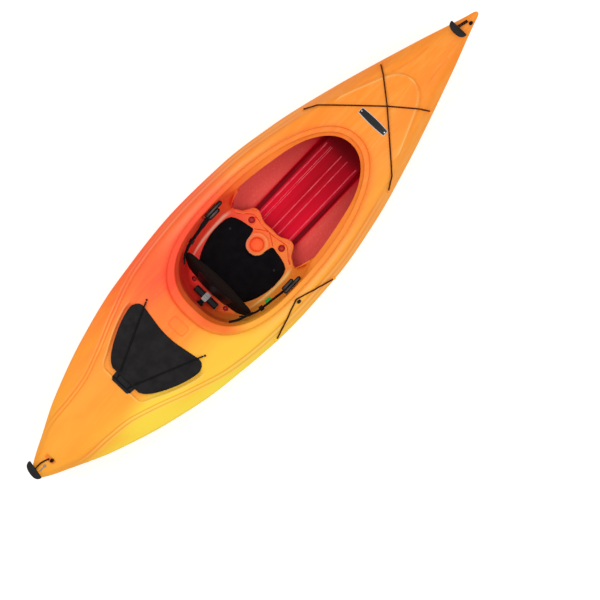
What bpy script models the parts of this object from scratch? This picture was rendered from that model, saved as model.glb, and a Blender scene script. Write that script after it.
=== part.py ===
"""A ten-foot sit-in kayak for flat water, modelled piece by piece.

Lengths are in metres. X runs to the bow, Y to port and Z up. The kayak stands on its flat keel at Z = 0.
Places along the hull are given as s, the distance from a datum 25 mm inside the stern tip, and
place() turns s into the world's X.
"""
import math

import bmesh
import bpy
from mathutils import Matrix, Vector
from mathutils.bvhtree import BVHTree

# Overall sizes
MIDSHIP = 1.508
STERN_TIP = -0.025
BOW_TIP = 3.048
WALL = 0.0045
GAP = 0.0005

# Guide lines of the hull, each a list of (s, value)
HALF_BEAM_LINE = [(-0.025, 0.012), (0.0, 0.036), (0.152, 0.116), (0.305, 0.190), (0.610, 0.295),
                  (0.914, 0.360), (1.372, 0.400), (1.676, 0.388), (1.981, 0.341), (2.286, 0.263),
                  (2.743, 0.117), (3.0, 0.024), (3.048, 0.006)]
SHEER_LINE = [(-0.025, 0.256), (0.2, 0.232), (0.5, 0.215), (0.9, 0.200), (1.4, 0.195), (2.05, 0.200),
              (2.57, 0.224), (2.95, 0.256), (3.048, 0.266)]
KEEL_LINE = [(-0.025, 0.250), (0.0, 0.205), (0.037, 0.129), (0.074, 0.077), (0.112, 0.043), (0.15, 0.023),
             (0.19, 0.008), (0.23, 0.0), (2.56, 0.0), (2.62, 0.003), (2.717, 0.0143), (2.803, 0.0358),
             (2.86, 0.0545), (2.917, 0.087), (2.975, 0.133), (3.003, 0.172), (3.032, 0.219), (3.048, 0.256)]
CHINE_RISE_LINE = [(-0.025, 0.5), (0.15, 0.35), (0.3, 0.33), (0.55, 0.225), (0.8, 0.12), (1.0, 0.045),
                   (1.4, 0.03), (1.7, 0.08), (2.05, 0.19), (2.45, 0.30), (2.77, 0.50), (3.048, 0.5)]
CHINE_WIDTH_LINE = [(-0.025, 0.7), (0.3, 0.70), (0.8, 0.78), (1.2, 0.83), (1.8, 0.82), (2.45, 0.74),
                    (3.048, 0.76)]
PONTOON_LINE = [(-0.025, 0.004), (0.25, 0.012), (0.6, 0.06), (1.0, 0.125), (1.5, 0.135), (2.0, 0.120),
                (2.3, 0.08), (2.55, 0.03), (2.75, 0.012), (3.048, 0.002)]
TUNNEL_LINE = [(-0.025, 0.0), (0.35, 0.0), (0.8, 0.020), (1.2, 0.025), (1.9, 0.024), (2.3, 0.010), (2.6, 0.0),
               (3.048, 0.0)]

# Guide lines of the deck
RIDGE_WIDTH_LINE = [(-0.025, 0.007), (0.1, 0.060), (0.218, 0.100), (0.34, 0.108), (0.46, 0.122), (0.614, 0.170),
                    (0.78, 0.236), (1.0, 0.306), (1.2, 0.334), (1.42, 0.345), (1.7, 0.333), (2.04, 0.272),
                    (2.25, 0.218), (2.445, 0.162), (2.75, 0.070), (3.0, 0.014), (3.048, 0.0035)]
RIDGE_HEIGHT_LINE = [(-0.025, 0.265), (0.1, 0.268), (0.34, 0.270), (0.614, 0.266), (0.8, 0.258), (1.0, 0.251),
                     (1.42, 0.259), (1.7, 0.268), (2.04, 0.284), (2.25, 0.287), (2.445, 0.279), (2.75, 0.2715),
                     (3.048, 0.2685)]
DECK_LINE = [(-0.025, 0.270), (0.152, 0.274), (0.457, 0.281), (0.61, 0.284), (0.8, 0.281), (0.95, 0.278),
             (1.1, 0.284), (1.5, 0.302), (1.9, 0.318), (2.2, 0.327), (2.32, 0.312), (2.438, 0.305),
             (2.59, 0.2945), (2.743, 0.286), (2.896, 0.278), (3.048, 0.271)]

# Raised foredeck panel that ends in a rounded nose
NOSE_LINE = [(2.15, 0.25), (2.25, 0.2205), (2.445, 0.144), (2.53, 0.104), (2.58, 0.06), (2.603, 0.0)]
NOSE_LIFT = 0.011
NOSE_START = 2.17
NOSE_FULL = 2.32
NOSE_SLOPE = 0.022

# Recess that the rear hatch cover lies in. It follows the cover's outline.
RECESS_DEPTH = 0.012
RECESS_MARGIN = 0.010
RECESS_SLOPE = 0.020

# Grid of the shell: stations along it, and columns across the deck inside the ridge line
STERN_STATIONS = [-0.025, -0.012, 0.012, 0.037, 0.074, 0.112, 0.17, 0.24, 0.32, 0.40, 0.48, 0.545, 0.60,
                  0.66, 0.71, 0.76, 0.81, 0.86, 0.92]
COCKPIT_BAY_REAR = 0.975
COCKPIT_BAY_FRONT = 2.30
BAY_STEPS = 20
BOW_STATIONS = [2.37, 2.44, 2.50, 2.56, 2.62, 2.68, 2.74, 2.80, 2.86, 2.91, 2.95, 2.98, 3.005, 3.03, 3.048]
DECK_COLUMNS = [0.9, 0.6, 0.3]
HOLLOW_REAR = 0.112
HOLLOW_FRONT = 2.91

# Hatch opening, bounded by the 0.6 columns and these stations
HATCH_REAR = 0.66
HATCH_FRONT = 0.86
HATCH_RIM = 0.009

# Cockpit rim: outlines in plan, about a centre at RIM_CENTRE
RIM_CENTRE = 1.50
FOOT_EGG = {"rear": 0.470, "front": 0.7216, "half": 0.308, "rear_power": 2.6, "front_power": 2.15}
INNER_EGG = {"rear": 0.417, "front": 0.688, "half": 0.279, "rear_power": 2.6, "front_power": 2.15}
RIM_HEIGHT_LINE = [(1.03, 0.303), (1.3, 0.303), (1.52, 0.307), (1.83, 0.320), (1.98, 0.333), (2.15, 0.343),
                   (2.23, 0.344)]
RIM_RINGS = [(0.18, 0.55, 0.0), (0.45, 1.0, 0.0), (0.75, 1.0, 0.004), (1.0, 1.0, 0.015), (1.08, 1.0, 0.026)]
LIP_DEPTH_SIDE = 0.054
LIP_DEPTH_FRONT = 0.038
LIP_REACH = 1.35
TUB_COLUMNS = 14
TUB_CORNER = 6
SLOT_COLUMNS = (10, 11)

# Seat pan
PAN_REAR = 1.144
PAN_HALF = 0.215
PAN_CENTRE = 1.50
PAN_CORNER = (1.553, 0.203)
PAN_FRONT_EDGE = [(1.553, 0.203), (1.576, 0.164), (1.622, 0.128), (1.628, 0.090), (1.612, 0.055),
                  (1.608, 0.027), (1.616, 0.0)]
PAN_HEIGHT = 0.075
PAN_SIDE_RISE = 0.030
PAN_FRONT_RISE = 0.022
PAN_REAR_RISE = 0.034
TUB_WALL_ROWS = [0.30, 0.60, 0.86]

# Cup holder and the moulded sockets of the pan
CUP_PLACE = (1.514, 0.0)
CUP_RADIUS = 0.036
CUP_RIM_RADIUS = 0.050
CUP_RIM_HEIGHT = 0.008
CUP_DEPTH = 0.038
SOCKETS = [(1.583, 0.100), (1.184, 0.104)]
SOCKET_RADIUS = 0.011

# Seat pad
PAD_THICKNESS = 0.012
PAD_EDGE = 0.007
PAD_REAR = [(1.222, 0.092), (1.213, 0.060), (1.208, 0.030), (1.206, 0.0)]
PAD_SIDE = [(1.222, 0.092), (1.262, 0.142), (1.310, 0.170), (1.365, 0.188), (1.420, 0.196), (1.470, 0.194),
            (1.510, 0.184)]
PAD_FRONT = [(1.510, 0.184), (1.540, 0.120), (1.5516, 0.066), (1.525, 0.0555), (1.488, 0.049), (1.464, 0.028),
             (1.457, 0.0)]
PAD_RIVET_PLACE = (1.480, 0.147)

# Backrest: it leans forward and turns about an axis at its foot
BACK_AXIS = (1.190, 0.127)
BACK_LEAN = math.radians(16.0)
BACK_HEIGHT = 0.275
BACK_HALF = 0.212
BACK_WRAP = 0.024
BACK_PLATE_HEIGHT = 0.150
BACK_PLATE_HALF = 0.112
BACK_PLATE_THICKNESS = 0.004
BAR_SIZE = (0.034, 0.140, 0.026)
BAR_S = 1.160

# Straps
STRAP_WIDTH = 0.024
STRAP_THICKNESS = 0.0024
SIDE_STRAP = [(1.262, 0.219, 0.253), (1.292, 0.229, 0.255), (1.395, 0.245, 0.258), (1.427, 0.250, 0.260)]
STRAP_LOOP_S = (1.432, 1.536)
STRAP_LOOP_Y = 0.252
STRAP_LOOP_Z = 0.262
ADJUSTER_S = 1.308
TAIL = [(1.236, -0.206, 0.272), (1.208, -0.197, 0.278), (1.178, -0.182, 0.285), (1.152, -0.165, 0.290)]

# Hatch cover
COVER_LIFT = 0.009
COVER_WALL = 0.0035
COVER_SIDE = [(0.612, 0.085), (0.636, 0.120), (0.6616, 0.1414), (0.71, 0.170), (0.7694, 0.1978), (0.82, 0.2155),
              (0.8653, 0.2253), (0.903, 0.2215)]
COVER_FRONT = [(0.903, 0.2215), (0.925, 0.190), (0.917, 0.140), (0.9085, 0.092), (0.901, 0.045), (0.899, 0.0)]
COVER_REAR = [(0.612, 0.085), (0.612, 0.068), (0.612, 0.051), (0.612, 0.034), (0.612, 0.017), (0.612, 0.0)]
HINGE_STRAP = {"rear": 0.566, "front": 0.6085, "half": 0.058, "thickness": 0.004}
HATCH_CORD = [(0.622, 0.046), (0.949, 0.189)]
HATCH_HOOK = (0.957, 0.193)

# Deck cords
CORD_RADIUS = 0.003
BOW_CORD = [(2.136, 0.283), (2.195, 0.240), (2.521, -0.1247), (2.547, -0.163)]
KEEPER_CORD = [(1.246, -0.386), (1.454, -0.3225), (1.653, -0.3815)]
KEEPER_BALL_PLACE = (1.4555, -0.338)
KEEPER_BALL_RADIUS = 0.009
EYELET_RADIUS = 0.009
EYELET_HEIGHT = 0.008
CORD_STEP = 0.022

# Carrying handles
GRIP = (0.036, 0.100, 0.020)
BOW_GRIP_S = 2.916
BOW_HANDLE_HOLE = 2.982
BOW_GRIP_Y = 0.012
STERN_GRIP_S = -0.011
STERN_GRIP_Y = 0.019
STERN_GRIP_TURN = math.radians(-11.0)
STERN_HANDLE_HOLE = 0.086
KNOT_OFFSET = (0.004, -0.0112)
STERN_SCREW_PLACE = (0.046, -0.004)

# Foot braces
RAIL_REAR = (2.138, 0.144)
RAIL_FRONT = (2.507, 0.165)
RAIL_OVERHANG = 0.018
RAIL_HEIGHT = 0.028
RAIL_DEPTH = 0.014
PEDAL_PLATE = (0.010, 0.078, 0.115)

# Flotation foam
FOAM_GAP = 0.0010
FOAM_HALF_WIDTH = 0.030
FOAM_MIDDLE = 0.18
STERN_FOAM = (0.22, 0.44)
BOW_FOAM = (2.52, 2.76)

# Colours
ORANGE = (0.95, 0.33, 0.03)
BLACK = (0.015, 0.015, 0.017)
DARK_GREY = (0.05, 0.05, 0.055)
GREY = (0.35, 0.36, 0.37)
STEEL = (0.62, 0.62, 0.63)
FOAM = (0.80, 0.80, 0.78)


def curve_through(points):
    """A smooth function through the points that never overshoots them."""
    xs = [p[0] for p in points]
    ys = [p[1] for p in points]
    steps = [xs[i + 1] - xs[i] for i in range(len(xs) - 1)]
    rises = [(ys[i + 1] - ys[i]) / steps[i] for i in range(len(steps))]
    slopes = [rises[0]]
    for i in range(1, len(rises)):
        same_way = rises[i - 1] * rises[i] > 0
        slopes.append(2 * rises[i - 1] * rises[i] / (rises[i - 1] + rises[i]) if same_way else 0.0)
    slopes.append(rises[-1])

    def value(x):
        x = min(max(x, xs[0]), xs[-1])
        i = max(k for k in range(len(steps)) if xs[k] <= x)
        t = (x - xs[i]) / steps[i]
        near = ys[i] * (1 + 2 * t) * (1 - t) ** 2 + slopes[i] * steps[i] * t * (1 - t) ** 2
        far = ys[i + 1] * t * t * (3 - 2 * t) - slopes[i + 1] * steps[i] * t * t * (1 - t)
        return near + far

    return value


half_beam = curve_through(HALF_BEAM_LINE)
sheer_height = curve_through(SHEER_LINE)
keel_height = curve_through(KEEL_LINE)
chine_rise = curve_through(CHINE_RISE_LINE)
chine_width = curve_through(CHINE_WIDTH_LINE)
pontoon_half = curve_through(PONTOON_LINE)
tunnel_lift = curve_through(TUNNEL_LINE)
ridge_width = curve_through(RIDGE_WIDTH_LINE)
ridge_height = curve_through(RIDGE_HEIGHT_LINE)
deck_line = curve_through(DECK_LINE)
nose_width = curve_through(NOSE_LINE)
rim_height = curve_through(RIM_HEIGHT_LINE)
cover_side = curve_through(COVER_SIDE)
cover_front = curve_through([(y, s) for s, y in reversed(COVER_FRONT)])


def place(s, y, z):
    """World point for a distance along the hull, an offset and a height."""
    return Vector((s - MIDSHIP, y, z))


def smooth_step(t):
    t = min(max(t, 0.0), 1.0)
    return t * t * (3 - 2 * t)


def nose_lift(s, y):
    """Height that the raised foredeck panel adds."""
    if s <= NOSE_START or s >= NOSE_LINE[-1][0] + NOSE_SLOPE:
        return 0.0
    inside = nose_width(s) - abs(y)
    ahead = NOSE_LINE[-1][0] - s
    edge = smooth_step(0.5 + min(inside, ahead) / NOSE_SLOPE)
    return NOSE_LIFT * edge * smooth_step((s - NOSE_START) / (NOSE_FULL - NOSE_START))


def recess_drop(s, y):
    """Depth of the hatch recess at a point of the deck."""
    across = abs(y)
    inside = min(s - COVER_REAR[0][0], cover_front(across) - s, cover_side(s) - across)
    return RECESS_DEPTH * smooth_step(1 + (inside + RECESS_MARGIN) / RECESS_SLOPE)


def deck_height(s, y):
    """Height of the outside of the deck, without the cockpit rim."""
    across = abs(y)
    ridge = ridge_width(s)
    top = ridge_height(s)
    if across <= ridge:
        crown = deck_line(s) - (deck_line(s) - top) * (across / ridge) ** 2
        return crown + nose_lift(s, y) - recess_drop(s, y)
    t = min((across - ridge) / (half_beam(s) - ridge), 1.0)
    return top - (top - sheer_height(s)) * t ** 1.2


def hull_section(s):
    """Half section of the hull from the keel to the sheer, as (y, z)."""
    keel = keel_height(s)
    beam = half_beam(s)
    sheer = sheer_height(s)
    chine = keel + chine_rise(s) * (sheer - keel)
    chine_y = chine_width(s) * beam
    pontoon = min(pontoon_half(s), 0.5 * chine_y)
    step = min(0.02, 0.2 * (chine_y - pontoon))
    lift = tunnel_lift(s)
    side = sheer - chine
    flare = beam - chine_y
    return [
        (0.0, keel),
        (pontoon, keel),
        (pontoon + step, keel + lift * 0.9 + 0.40 * (chine - keel)),
        (chine_y - 1.6 * step, keel + lift + 0.84 * (chine - keel)),
        (chine_y, chine),
        (chine_y + 0.68 * flare, chine + 0.20 * side),
        (chine_y + 0.93 * flare, chine + 0.54 * side),
        (beam, sheer),
    ]


def half_section(s):
    """Half section of the whole shell, keel to deck centre, as (y, z)."""
    ridge = ridge_width(s)
    middle = 0.5 * (ridge + half_beam(s))
    deck = [middle, ridge] + [ridge * column for column in DECK_COLUMNS] + [0.0]
    return hull_section(s) + [(y, deck_height(s, y)) for y in deck]


def egg_loop(shape, count):
    """Points of the cockpit outline, evenly spaced, from the rear centre round by port."""
    fine = []
    for k in range(721):
        angle = math.pi * k / 720
        rear = angle < math.pi / 2
        reach = shape["rear"] if rear else shape["front"]
        power = 2 / (shape["rear_power"] if rear else shape["front_power"])
        along = -math.copysign(abs(math.cos(angle)) ** power, math.cos(angle))
        fine.append((RIM_CENTRE + reach * along, shape["half"] * math.sin(angle) ** power))
    half = even_points(fine, count // 2)
    return half + [(s, -y) for s, y in reversed(half[1:-1])]


def even_points(line, intervals):
    """Points at even distances along a plane line."""
    travelled = [0.0]
    for a, b in zip(line, line[1:]):
        travelled.append(travelled[-1] + math.dist(a, b))
    points = []
    i = 0
    for k in range(intervals + 1):
        target = travelled[-1] * k / intervals
        while i < len(line) - 2 and travelled[i + 1] < target:
            i += 1
        t = (target - travelled[i]) / (travelled[i + 1] - travelled[i])
        points.append(tuple(a + (b - a) * t for a, b in zip(line[i], line[i + 1])))
    return points


def smooth_line(points, intervals):
    """Points at even distances along a smooth curve through the given plane points."""
    fine = []
    for i in range(len(points) - 1):
        a, b = points[i], points[i + 1]
        before = points[i - 1] if i > 0 else mix(a, b, -1)
        after = points[i + 2] if i + 2 < len(points) else mix(a, b, 2)
        for k in range(12):
            t = k / 12
            weights = (-t + 2 * t ** 2 - t ** 3, 2 - 5 * t ** 2 + 3 * t ** 3, t + 4 * t ** 2 - 3 * t ** 3,
                       t ** 3 - t ** 2)
            nearby = zip(before, a, b, after)
            fine.append(tuple(sum(w * q for w, q in zip(weights, four)) / 2 for four in nearby))
    fine.append(points[-1])
    return even_points(fine, intervals)


def mix(a, b, t):
    return tuple(p + (q - p) * t for p, q in zip(a, b))


def pan_height(s, y):
    """Height of the top of the seat pan."""
    side = PAN_SIDE_RISE * (abs(y) / PAN_HALF) ** 3
    front = PAN_FRONT_RISE * smooth_step((s - 1.38) / 0.20)
    rear = PAN_REAR_RISE * smooth_step((1.27 - s) / 0.12)
    return PAN_HEIGHT + side + front + rear


def pan_outline():
    """Half outline of the seat pan at the tub's wall, from the rear centre to the front corner."""
    fine = []
    for k in range(361):
        angle = math.pi / 2 * k / 360
        along = math.cos(angle) ** (2 / 2.8)
        fine.append((PAN_CENTRE - (PAN_CENTRE - PAN_REAR) * along, PAN_HALF * math.sin(angle) ** (2 / 2.8)))
    fine.append(PAN_CORNER)
    return even_points(fine, TUB_COLUMNS)


def filled_grid(rear, front, port, starboard):
    """Plan points inside four bounding rows, blended between them."""
    rows = len(port) - 1
    columns = len(rear) - 1
    grid = []
    for i in range(rows + 1):
        v = i / rows
        row = []
        for j in range(columns + 1):
            u = j / columns
            along = mix(rear[j], front[j], v)
            across = mix(port[i], starboard[i], u)
            corner = mix(mix(rear[0], rear[-1], u), mix(front[0], front[-1], u), v)
            row.append(tuple(a + b - c for a, b, c in zip(along, across, corner)))
        grid.append(row)
    return grid


def mirrored(points):
    return [(s, -y) for s, y in points]


def whole_row(half):
    """A row from port to starboard, from its port half."""
    return half + mirrored(half[:-1])[::-1]


def thicken(bm, thickness, hollow):
    """Give an open sheet an inside face, joined to it along every free edge.

    hollow says which vertices have an inside copy.
    """
    bm.normal_update()
    faces = list(bm.faces)
    free = [e for e in bm.edges if e.is_boundary and all(hollow(v) for v in e.verts)]
    rims = []
    for edge in free:
        loop = edge.link_loops[0]
        rims.append((loop.vert, loop.link_loop_next.vert))
    inside = {}
    for v in list(bm.verts):
        if hollow(v):
            depth = thickness * min(v.calc_shell_factor(), 1.4)
            inside[v] = bm.verts.new(v.co - v.normal * depth)
    for face in faces:
        if all(v in inside for v in face.verts):
            bm.faces.new([inside[v] for v in reversed(face.verts)])
    for a, b in rims:
        bm.faces.new([b, a, inside[a], inside[b]])


def cap_holes(bm):
    """Close every open loop with a flat face."""
    loose = [e for e in bm.edges if e.is_boundary]
    if loose:
        bmesh.ops.holes_fill(bm, edges=loose, sides=0)


def build_shell():
    """The moulding: hull, deck, rim and seat pan as one sheet, then given its wall."""
    bm = bmesh.new()
    step = (COCKPIT_BAY_FRONT - COCKPIT_BAY_REAR) / BAY_STEPS
    bay = [COCKPIT_BAY_REAR + step * k for k in range(BAY_STEPS + 1)]
    stations = STERN_STATIONS + bay + BOW_STATIONS
    bay_rear = len(STERN_STATIONS)
    bay_front = bay_rear + BAY_STEPS
    hatch_rear = STERN_STATIONS.index(HATCH_REAR)
    hatch_front = STERN_STATIONS.index(HATCH_FRONT)

    half_count = len(half_section(stations[0]))
    ridge_column = 9
    centre_column = half_count - 1
    ring = list(range(half_count)) + [-j for j in range(half_count - 2, 0, -1)]
    station_of = {}
    grid = []

    def in_bay(i, j):
        return bay_rear < i < bay_front and abs(j) > ridge_column

    def in_hatch(i, j):
        return hatch_rear < i < hatch_front and abs(j) > ridge_column + 2

    for i, s in enumerate(stations):
        row = {}
        section = half_section(s)
        for j in ring:
            if in_bay(i, j) or in_hatch(i, j):
                continue
            y, z = section[abs(j)]
            row[j] = bm.verts.new(place(s, math.copysign(y, j), z))
            station_of[row[j]] = i
        grid.append(row)

    for i in range(len(stations) - 1):
        for a, b in zip(ring, ring[1:] + ring[:1]):
            corners = [(i, a), (i, b), (i + 1, b), (i + 1, a)]
            deck_face = min(abs(a), abs(b)) >= ridge_column
            if bay_rear <= i < bay_front and deck_face:
                continue
            if hatch_rear <= i < hatch_front and min(abs(a), abs(b)) >= ridge_column + 2:
                continue
            bm.faces.new([grid[p][q] for p, q in corners])

    def border(first, last, inner_column):
        """Vertices round a bay of the deck, from the rear centre round by port."""
        side = list(range(centre_column, inner_column - 1, -1))
        rear_half = [grid[first][j] for j in side]
        port = [grid[i][inner_column] for i in range(first + 1, last)]
        front = [grid[last][j] for j in reversed(side)] + [grid[last][-j] for j in side[1:]]
        starboard = [grid[i][-inner_column] for i in range(last - 1, first, -1)]
        rear_rest = [grid[first][-j] for j in reversed(side[1:])]
        return rear_half + port + front + starboard + rear_rest

    def ring_of(points):
        return [bm.verts.new(place(*p)) for p in points]

    def join_rings(outer, inner, skip=()):
        count = len(outer)
        for k in range(count):
            if k in skip:
                continue
            n = (k + 1) % count
            bm.faces.new([outer[k], inner[k], inner[n], outer[n]])

    add_hatch_rim(bm, border(hatch_rear, hatch_front, ridge_column + 2), ring_of, join_rings)
    add_cockpit(bm, border(bay_rear, bay_front, ridge_column), ring_of, join_rings)

    hollow_first = stations.index(HOLLOW_REAR)
    hollow_last = stations.index(HOLLOW_FRONT)

    def hollow(v):
        return hollow_first <= station_of.get(v, hollow_first) <= hollow_last

    thicken(bm, WALL, hollow)
    cap_holes(bm)
    bmesh.ops.recalc_face_normals(bm, faces=bm.faces)
    return bm


def add_hatch_rim(bm, edge, ring_of, join_rings):
    """Low rim round the hatch opening, with rounded corners."""
    middle = sum((v.co for v in edge), Vector()) / len(edge)
    for v in edge:
        corner = abs(v.co.x - middle.x) > 0.08 and abs(v.co.y) > 0.08
        if corner:
            v.co += Vector((middle.x - v.co.x, -v.co.y, 0)) * 0.10
    points = []
    for v in edge:
        inward = Vector((middle.x - v.co.x, -v.co.y, 0)).normalized() * 0.003
        points.append((v.co.x + inward.x + MIDSHIP, v.co.y + inward.y, v.co.z + HATCH_RIM))
    join_rings(edge, ring_of(points))


def add_cockpit(bm, edge, ring_of, join_rings):
    """Rings from the deck's bay over the rim and down into the tub and the seat pan."""
    count = len(edge)
    foot = egg_loop(FOOT_EGG, count)
    inner = egg_loop(INNER_EGG, count)
    rings = [edge]

    middle = []
    for v, (s, y) in zip(edge, foot):
        half_way = mix((v.co.x + MIDSHIP, v.co.y), (s, y), 0.5)
        middle.append((*half_way, deck_height(*half_way)))
    rings.append(ring_of(middle))
    rings.append(ring_of([(s, y, deck_height(s, y)) for s, y in foot]))
    for reach, rise, drop in RIM_RINGS:
        points = []
        for a, b in zip(foot, inner):
            low = deck_height(*a)
            high = rim_height(a[0])
            points.append((*mix(a, b, reach), low + (high - low) * rise - drop))
        rings.append(ring_of(points))
    lip = []
    for a, b in zip(foot, inner):
        forward = smooth_step((a[0] - 1.60) / 0.50)
        depth = LIP_DEPTH_SIDE + (LIP_DEPTH_FRONT - LIP_DEPTH_SIDE) * forward
        lip.append((*mix(a, b, LIP_REACH), rim_height(a[0]) - depth))
    rings.append(ring_of(lip))

    slots = set(SLOT_COLUMNS) | {count - 1 - k for k in SLOT_COLUMNS}
    for k, (outer, inside) in enumerate(zip(rings, rings[1:])):
        last = k == len(rings) - 2
        join_rings(outer, inside, slots if last else ())
    add_tub(bm, rings[-1], ring_of)


def add_tub(bm, lip, ring_of):
    """Wall of the tub, from the rear part of the lip down to the seat pan, and the pan itself."""
    half = pan_outline()
    outline = mirrored(half[1:])[::-1] + half
    columns = list(range(-TUB_COLUMNS, TUB_COLUMNS + 1))
    top = [lip[k % len(lip)] for k in columns]
    rows = [top]
    for level in TUB_WALL_ROWS:
        points = []
        for v, (s, y) in zip(top, outline):
            plan = mix((v.co.x + MIDSHIP, v.co.y), (s, y), level ** 1.5)
            low = pan_height(s, y)
            points.append((*plan, v.co.z + (low - v.co.z) * level ** 0.9))
        rows.append(ring_of(points))
    rows.append(ring_of([(s, y, pan_height(s, y)) for s, y in outline]))
    for upper, lower in zip(rows, rows[1:]):
        for k in range(len(columns) - 1):
            bm.faces.new([upper[k], lower[k], lower[k + 1], upper[k + 1]])

    rear = outline[TUB_COLUMNS - TUB_CORNER:TUB_COLUMNS + TUB_CORNER + 1][::-1]
    port = half[TUB_CORNER:]
    grid = filled_grid(rear, whole_row(PAN_FRONT_EDGE), port, mirrored(port))
    floor = []
    bottom = rows[-1]
    last_column = len(rear) - 1
    for i, row in enumerate(grid):
        line = []
        for j, (s, y) in enumerate(row):
            if i == 0:
                line.append(bottom[TUB_COLUMNS + TUB_CORNER - j])
            elif j == 0:
                line.append(bottom[TUB_COLUMNS + TUB_CORNER + i])
            elif j == last_column:
                line.append(bottom[TUB_COLUMNS - TUB_CORNER - i])
            else:
                line.append(bm.verts.new(place(s, y, pan_height(s, y))))
        floor.append(line)
    for i in range(len(floor) - 1):
        for j in range(last_column):
            bm.faces.new([floor[i][j], floor[i][j + 1], floor[i + 1][j + 1], floor[i + 1][j]])


def make_material(name, colour, roughness, metallic=0.0):
    material = bpy.data.materials.new(name)
    material.use_nodes = True
    shader = material.node_tree.nodes["Principled BSDF"]
    shader.inputs["Base Color"].default_value = (*colour, 1.0)
    shader.inputs["Roughness"].default_value = roughness
    shader.inputs["Metallic"].default_value = metallic
    material.diffuse_color = (*colour, 1.0)
    return material


def add_object(name, bm, material, parent=None, angle=40.0):
    """Turn a mesh in world coordinates into a named object, whose origin is its parent pivot."""
    mesh = bpy.data.meshes.new(name)
    if parent is not None:
        bm.transform(Matrix.Translation(-parent.location))
    bm.to_mesh(mesh)
    bm.free()
    mesh.shade_smooth()
    mesh.set_sharp_from_angle(angle=math.radians(angle))
    mesh.materials.append(material)
    obj = bpy.data.objects.new(name, mesh)
    bpy.context.scene.collection.objects.link(obj)
    obj.parent = parent
    return obj


def add_pivot(name, location):
    pivot = bpy.data.objects.new(name, None)
    pivot.location = location
    bpy.context.scene.collection.objects.link(pivot)
    return pivot


def carve(obj, helper, operation="DIFFERENCE"):
    """Cut a helper object out of obj, or join it on."""
    helper.hide_render = True
    helper.display_type = "WIRE"
    modifier = obj.modifiers.new(helper.name, "BOOLEAN")
    modifier.operation = operation
    modifier.object = helper


def frame_at(point, normal, hint=Vector((1, 0, 0))):
    """Matrix whose Z is the normal and whose X is as near the hint as it can be."""
    z = normal.normalized()
    y = z.cross(hint).normalized()
    x = y.cross(z)
    matrix = Matrix((x, y, z)).transposed().to_4x4()
    matrix.translation = point
    return matrix


def turned(profile, sides, matrix):
    """A solid of revolution about Z from (radius, height) points, bottom to top, both ends on the axis."""
    bm = bmesh.new()
    bottom = bm.verts.new((0, 0, profile[0][1]))
    top = bm.verts.new((0, 0, profile[-1][1]))
    rings = []
    for radius, height in profile[1:-1]:
        angles = [2 * math.pi * k / sides for k in range(sides)]
        rings.append([bm.verts.new((radius * math.cos(a), radius * math.sin(a), height)) for a in angles])
    for k in range(sides):
        n = (k + 1) % sides
        bm.faces.new([bottom, rings[0][n], rings[0][k]])
        bm.faces.new([top, rings[-1][k], rings[-1][n]])
        for low, high in zip(rings, rings[1:]):
            bm.faces.new([low[k], low[n], high[n], high[k]])
    bm.transform(matrix)
    return bm


def pin(radius, length, sides, matrix):
    """A plain round pin from z = 0 to z = length."""
    return turned([(0, 0), (radius, 0), (radius, length), (0, length)], sides, matrix)


def swept(path, outline, side):
    """Sweep a closed outline of (across, up) points along a path. side(i) gives the across direction."""
    bm = bmesh.new()
    rings = []
    for i, point in enumerate(path):
        ahead = (path[min(i + 1, len(path) - 1)] - path[max(i - 1, 0)]).normalized()
        across = side(i)
        across = (across - ahead * across.dot(ahead)).normalized()
        up = ahead.cross(across)
        rings.append([bm.verts.new(point + across * a + up * b) for a, b in outline])
    count = len(outline)
    for first, second in zip(rings, rings[1:]):
        for k in range(count):
            n = (k + 1) % count
            bm.faces.new([first[k], first[n], second[n], second[k]])
    bm.faces.new(rings[0][::-1])
    bm.faces.new(rings[-1])
    bmesh.ops.recalc_face_normals(bm, faces=bm.faces)
    return bm


def cord_solid(path, radius=CORD_RADIUS, sides=7):
    outline = [(radius * math.cos(2 * math.pi * k / sides), radius * math.sin(2 * math.pi * k / sides))
               for k in range(sides)]
    return swept(path, outline, lambda i: Vector((0.0, 0.36, 1.0)))


def strap_solid(path, width=STRAP_WIDTH, thickness=STRAP_THICKNESS, face=Vector((0, 0.6, 0.8))):
    """A flat strap whose width lies along the direction called face."""
    half = width / 2
    outline = [(-half, -thickness / 2), (half, -thickness / 2), (half, thickness / 2), (-half, thickness / 2)]
    return swept(path, outline, lambda i: face)


def block(size, matrix, bevel=0.0, segments=2):
    """A box centred on the matrix, with rounded edges."""
    bm = bmesh.new()
    bmesh.ops.create_cube(bm, size=1.0)
    bmesh.ops.scale(bm, vec=size, verts=bm.verts)
    if bevel:
        bmesh.ops.bevel(bm, geom=list(bm.edges), offset=bevel, segments=segments, affect="EDGES", profile=0.5)
    bm.transform(matrix)
    return bm


def quilt(grid, top, bottom, belly=0.0):
    """A closed solid between two point functions over a grid. belly pushes the middle of its sides out."""
    bm = bmesh.new()
    rows = len(grid)
    columns = len(grid[0])
    upper = [[bm.verts.new(top(i, j, *grid[i][j])) for j in range(columns)] for i in range(rows)]
    lower = [[bm.verts.new(bottom(i, j, *grid[i][j])) for j in range(columns)] for i in range(rows)]
    for i in range(rows - 1):
        for j in range(columns - 1):
            bm.faces.new([upper[i][j], upper[i][j + 1], upper[i + 1][j + 1], upper[i + 1][j]])
            bm.faces.new([lower[i + 1][j], lower[i + 1][j + 1], lower[i][j + 1], lower[i][j]])
    walk = border_walk(rows - 1, columns - 1)
    edges = [[upper[i][j] for i, j in walk], [lower[i][j] for i, j in walk]]
    if belly:
        edges.insert(1, belly_ring(bm, upper, lower, walk, belly))
    for high, low in zip(edges, edges[1:]):
        for k in range(len(walk)):
            n = (k + 1) % len(walk)
            bm.faces.new([high[k], high[n], low[n], low[k]])
    bmesh.ops.recalc_face_normals(bm, faces=bm.faces)
    return bm


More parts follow.
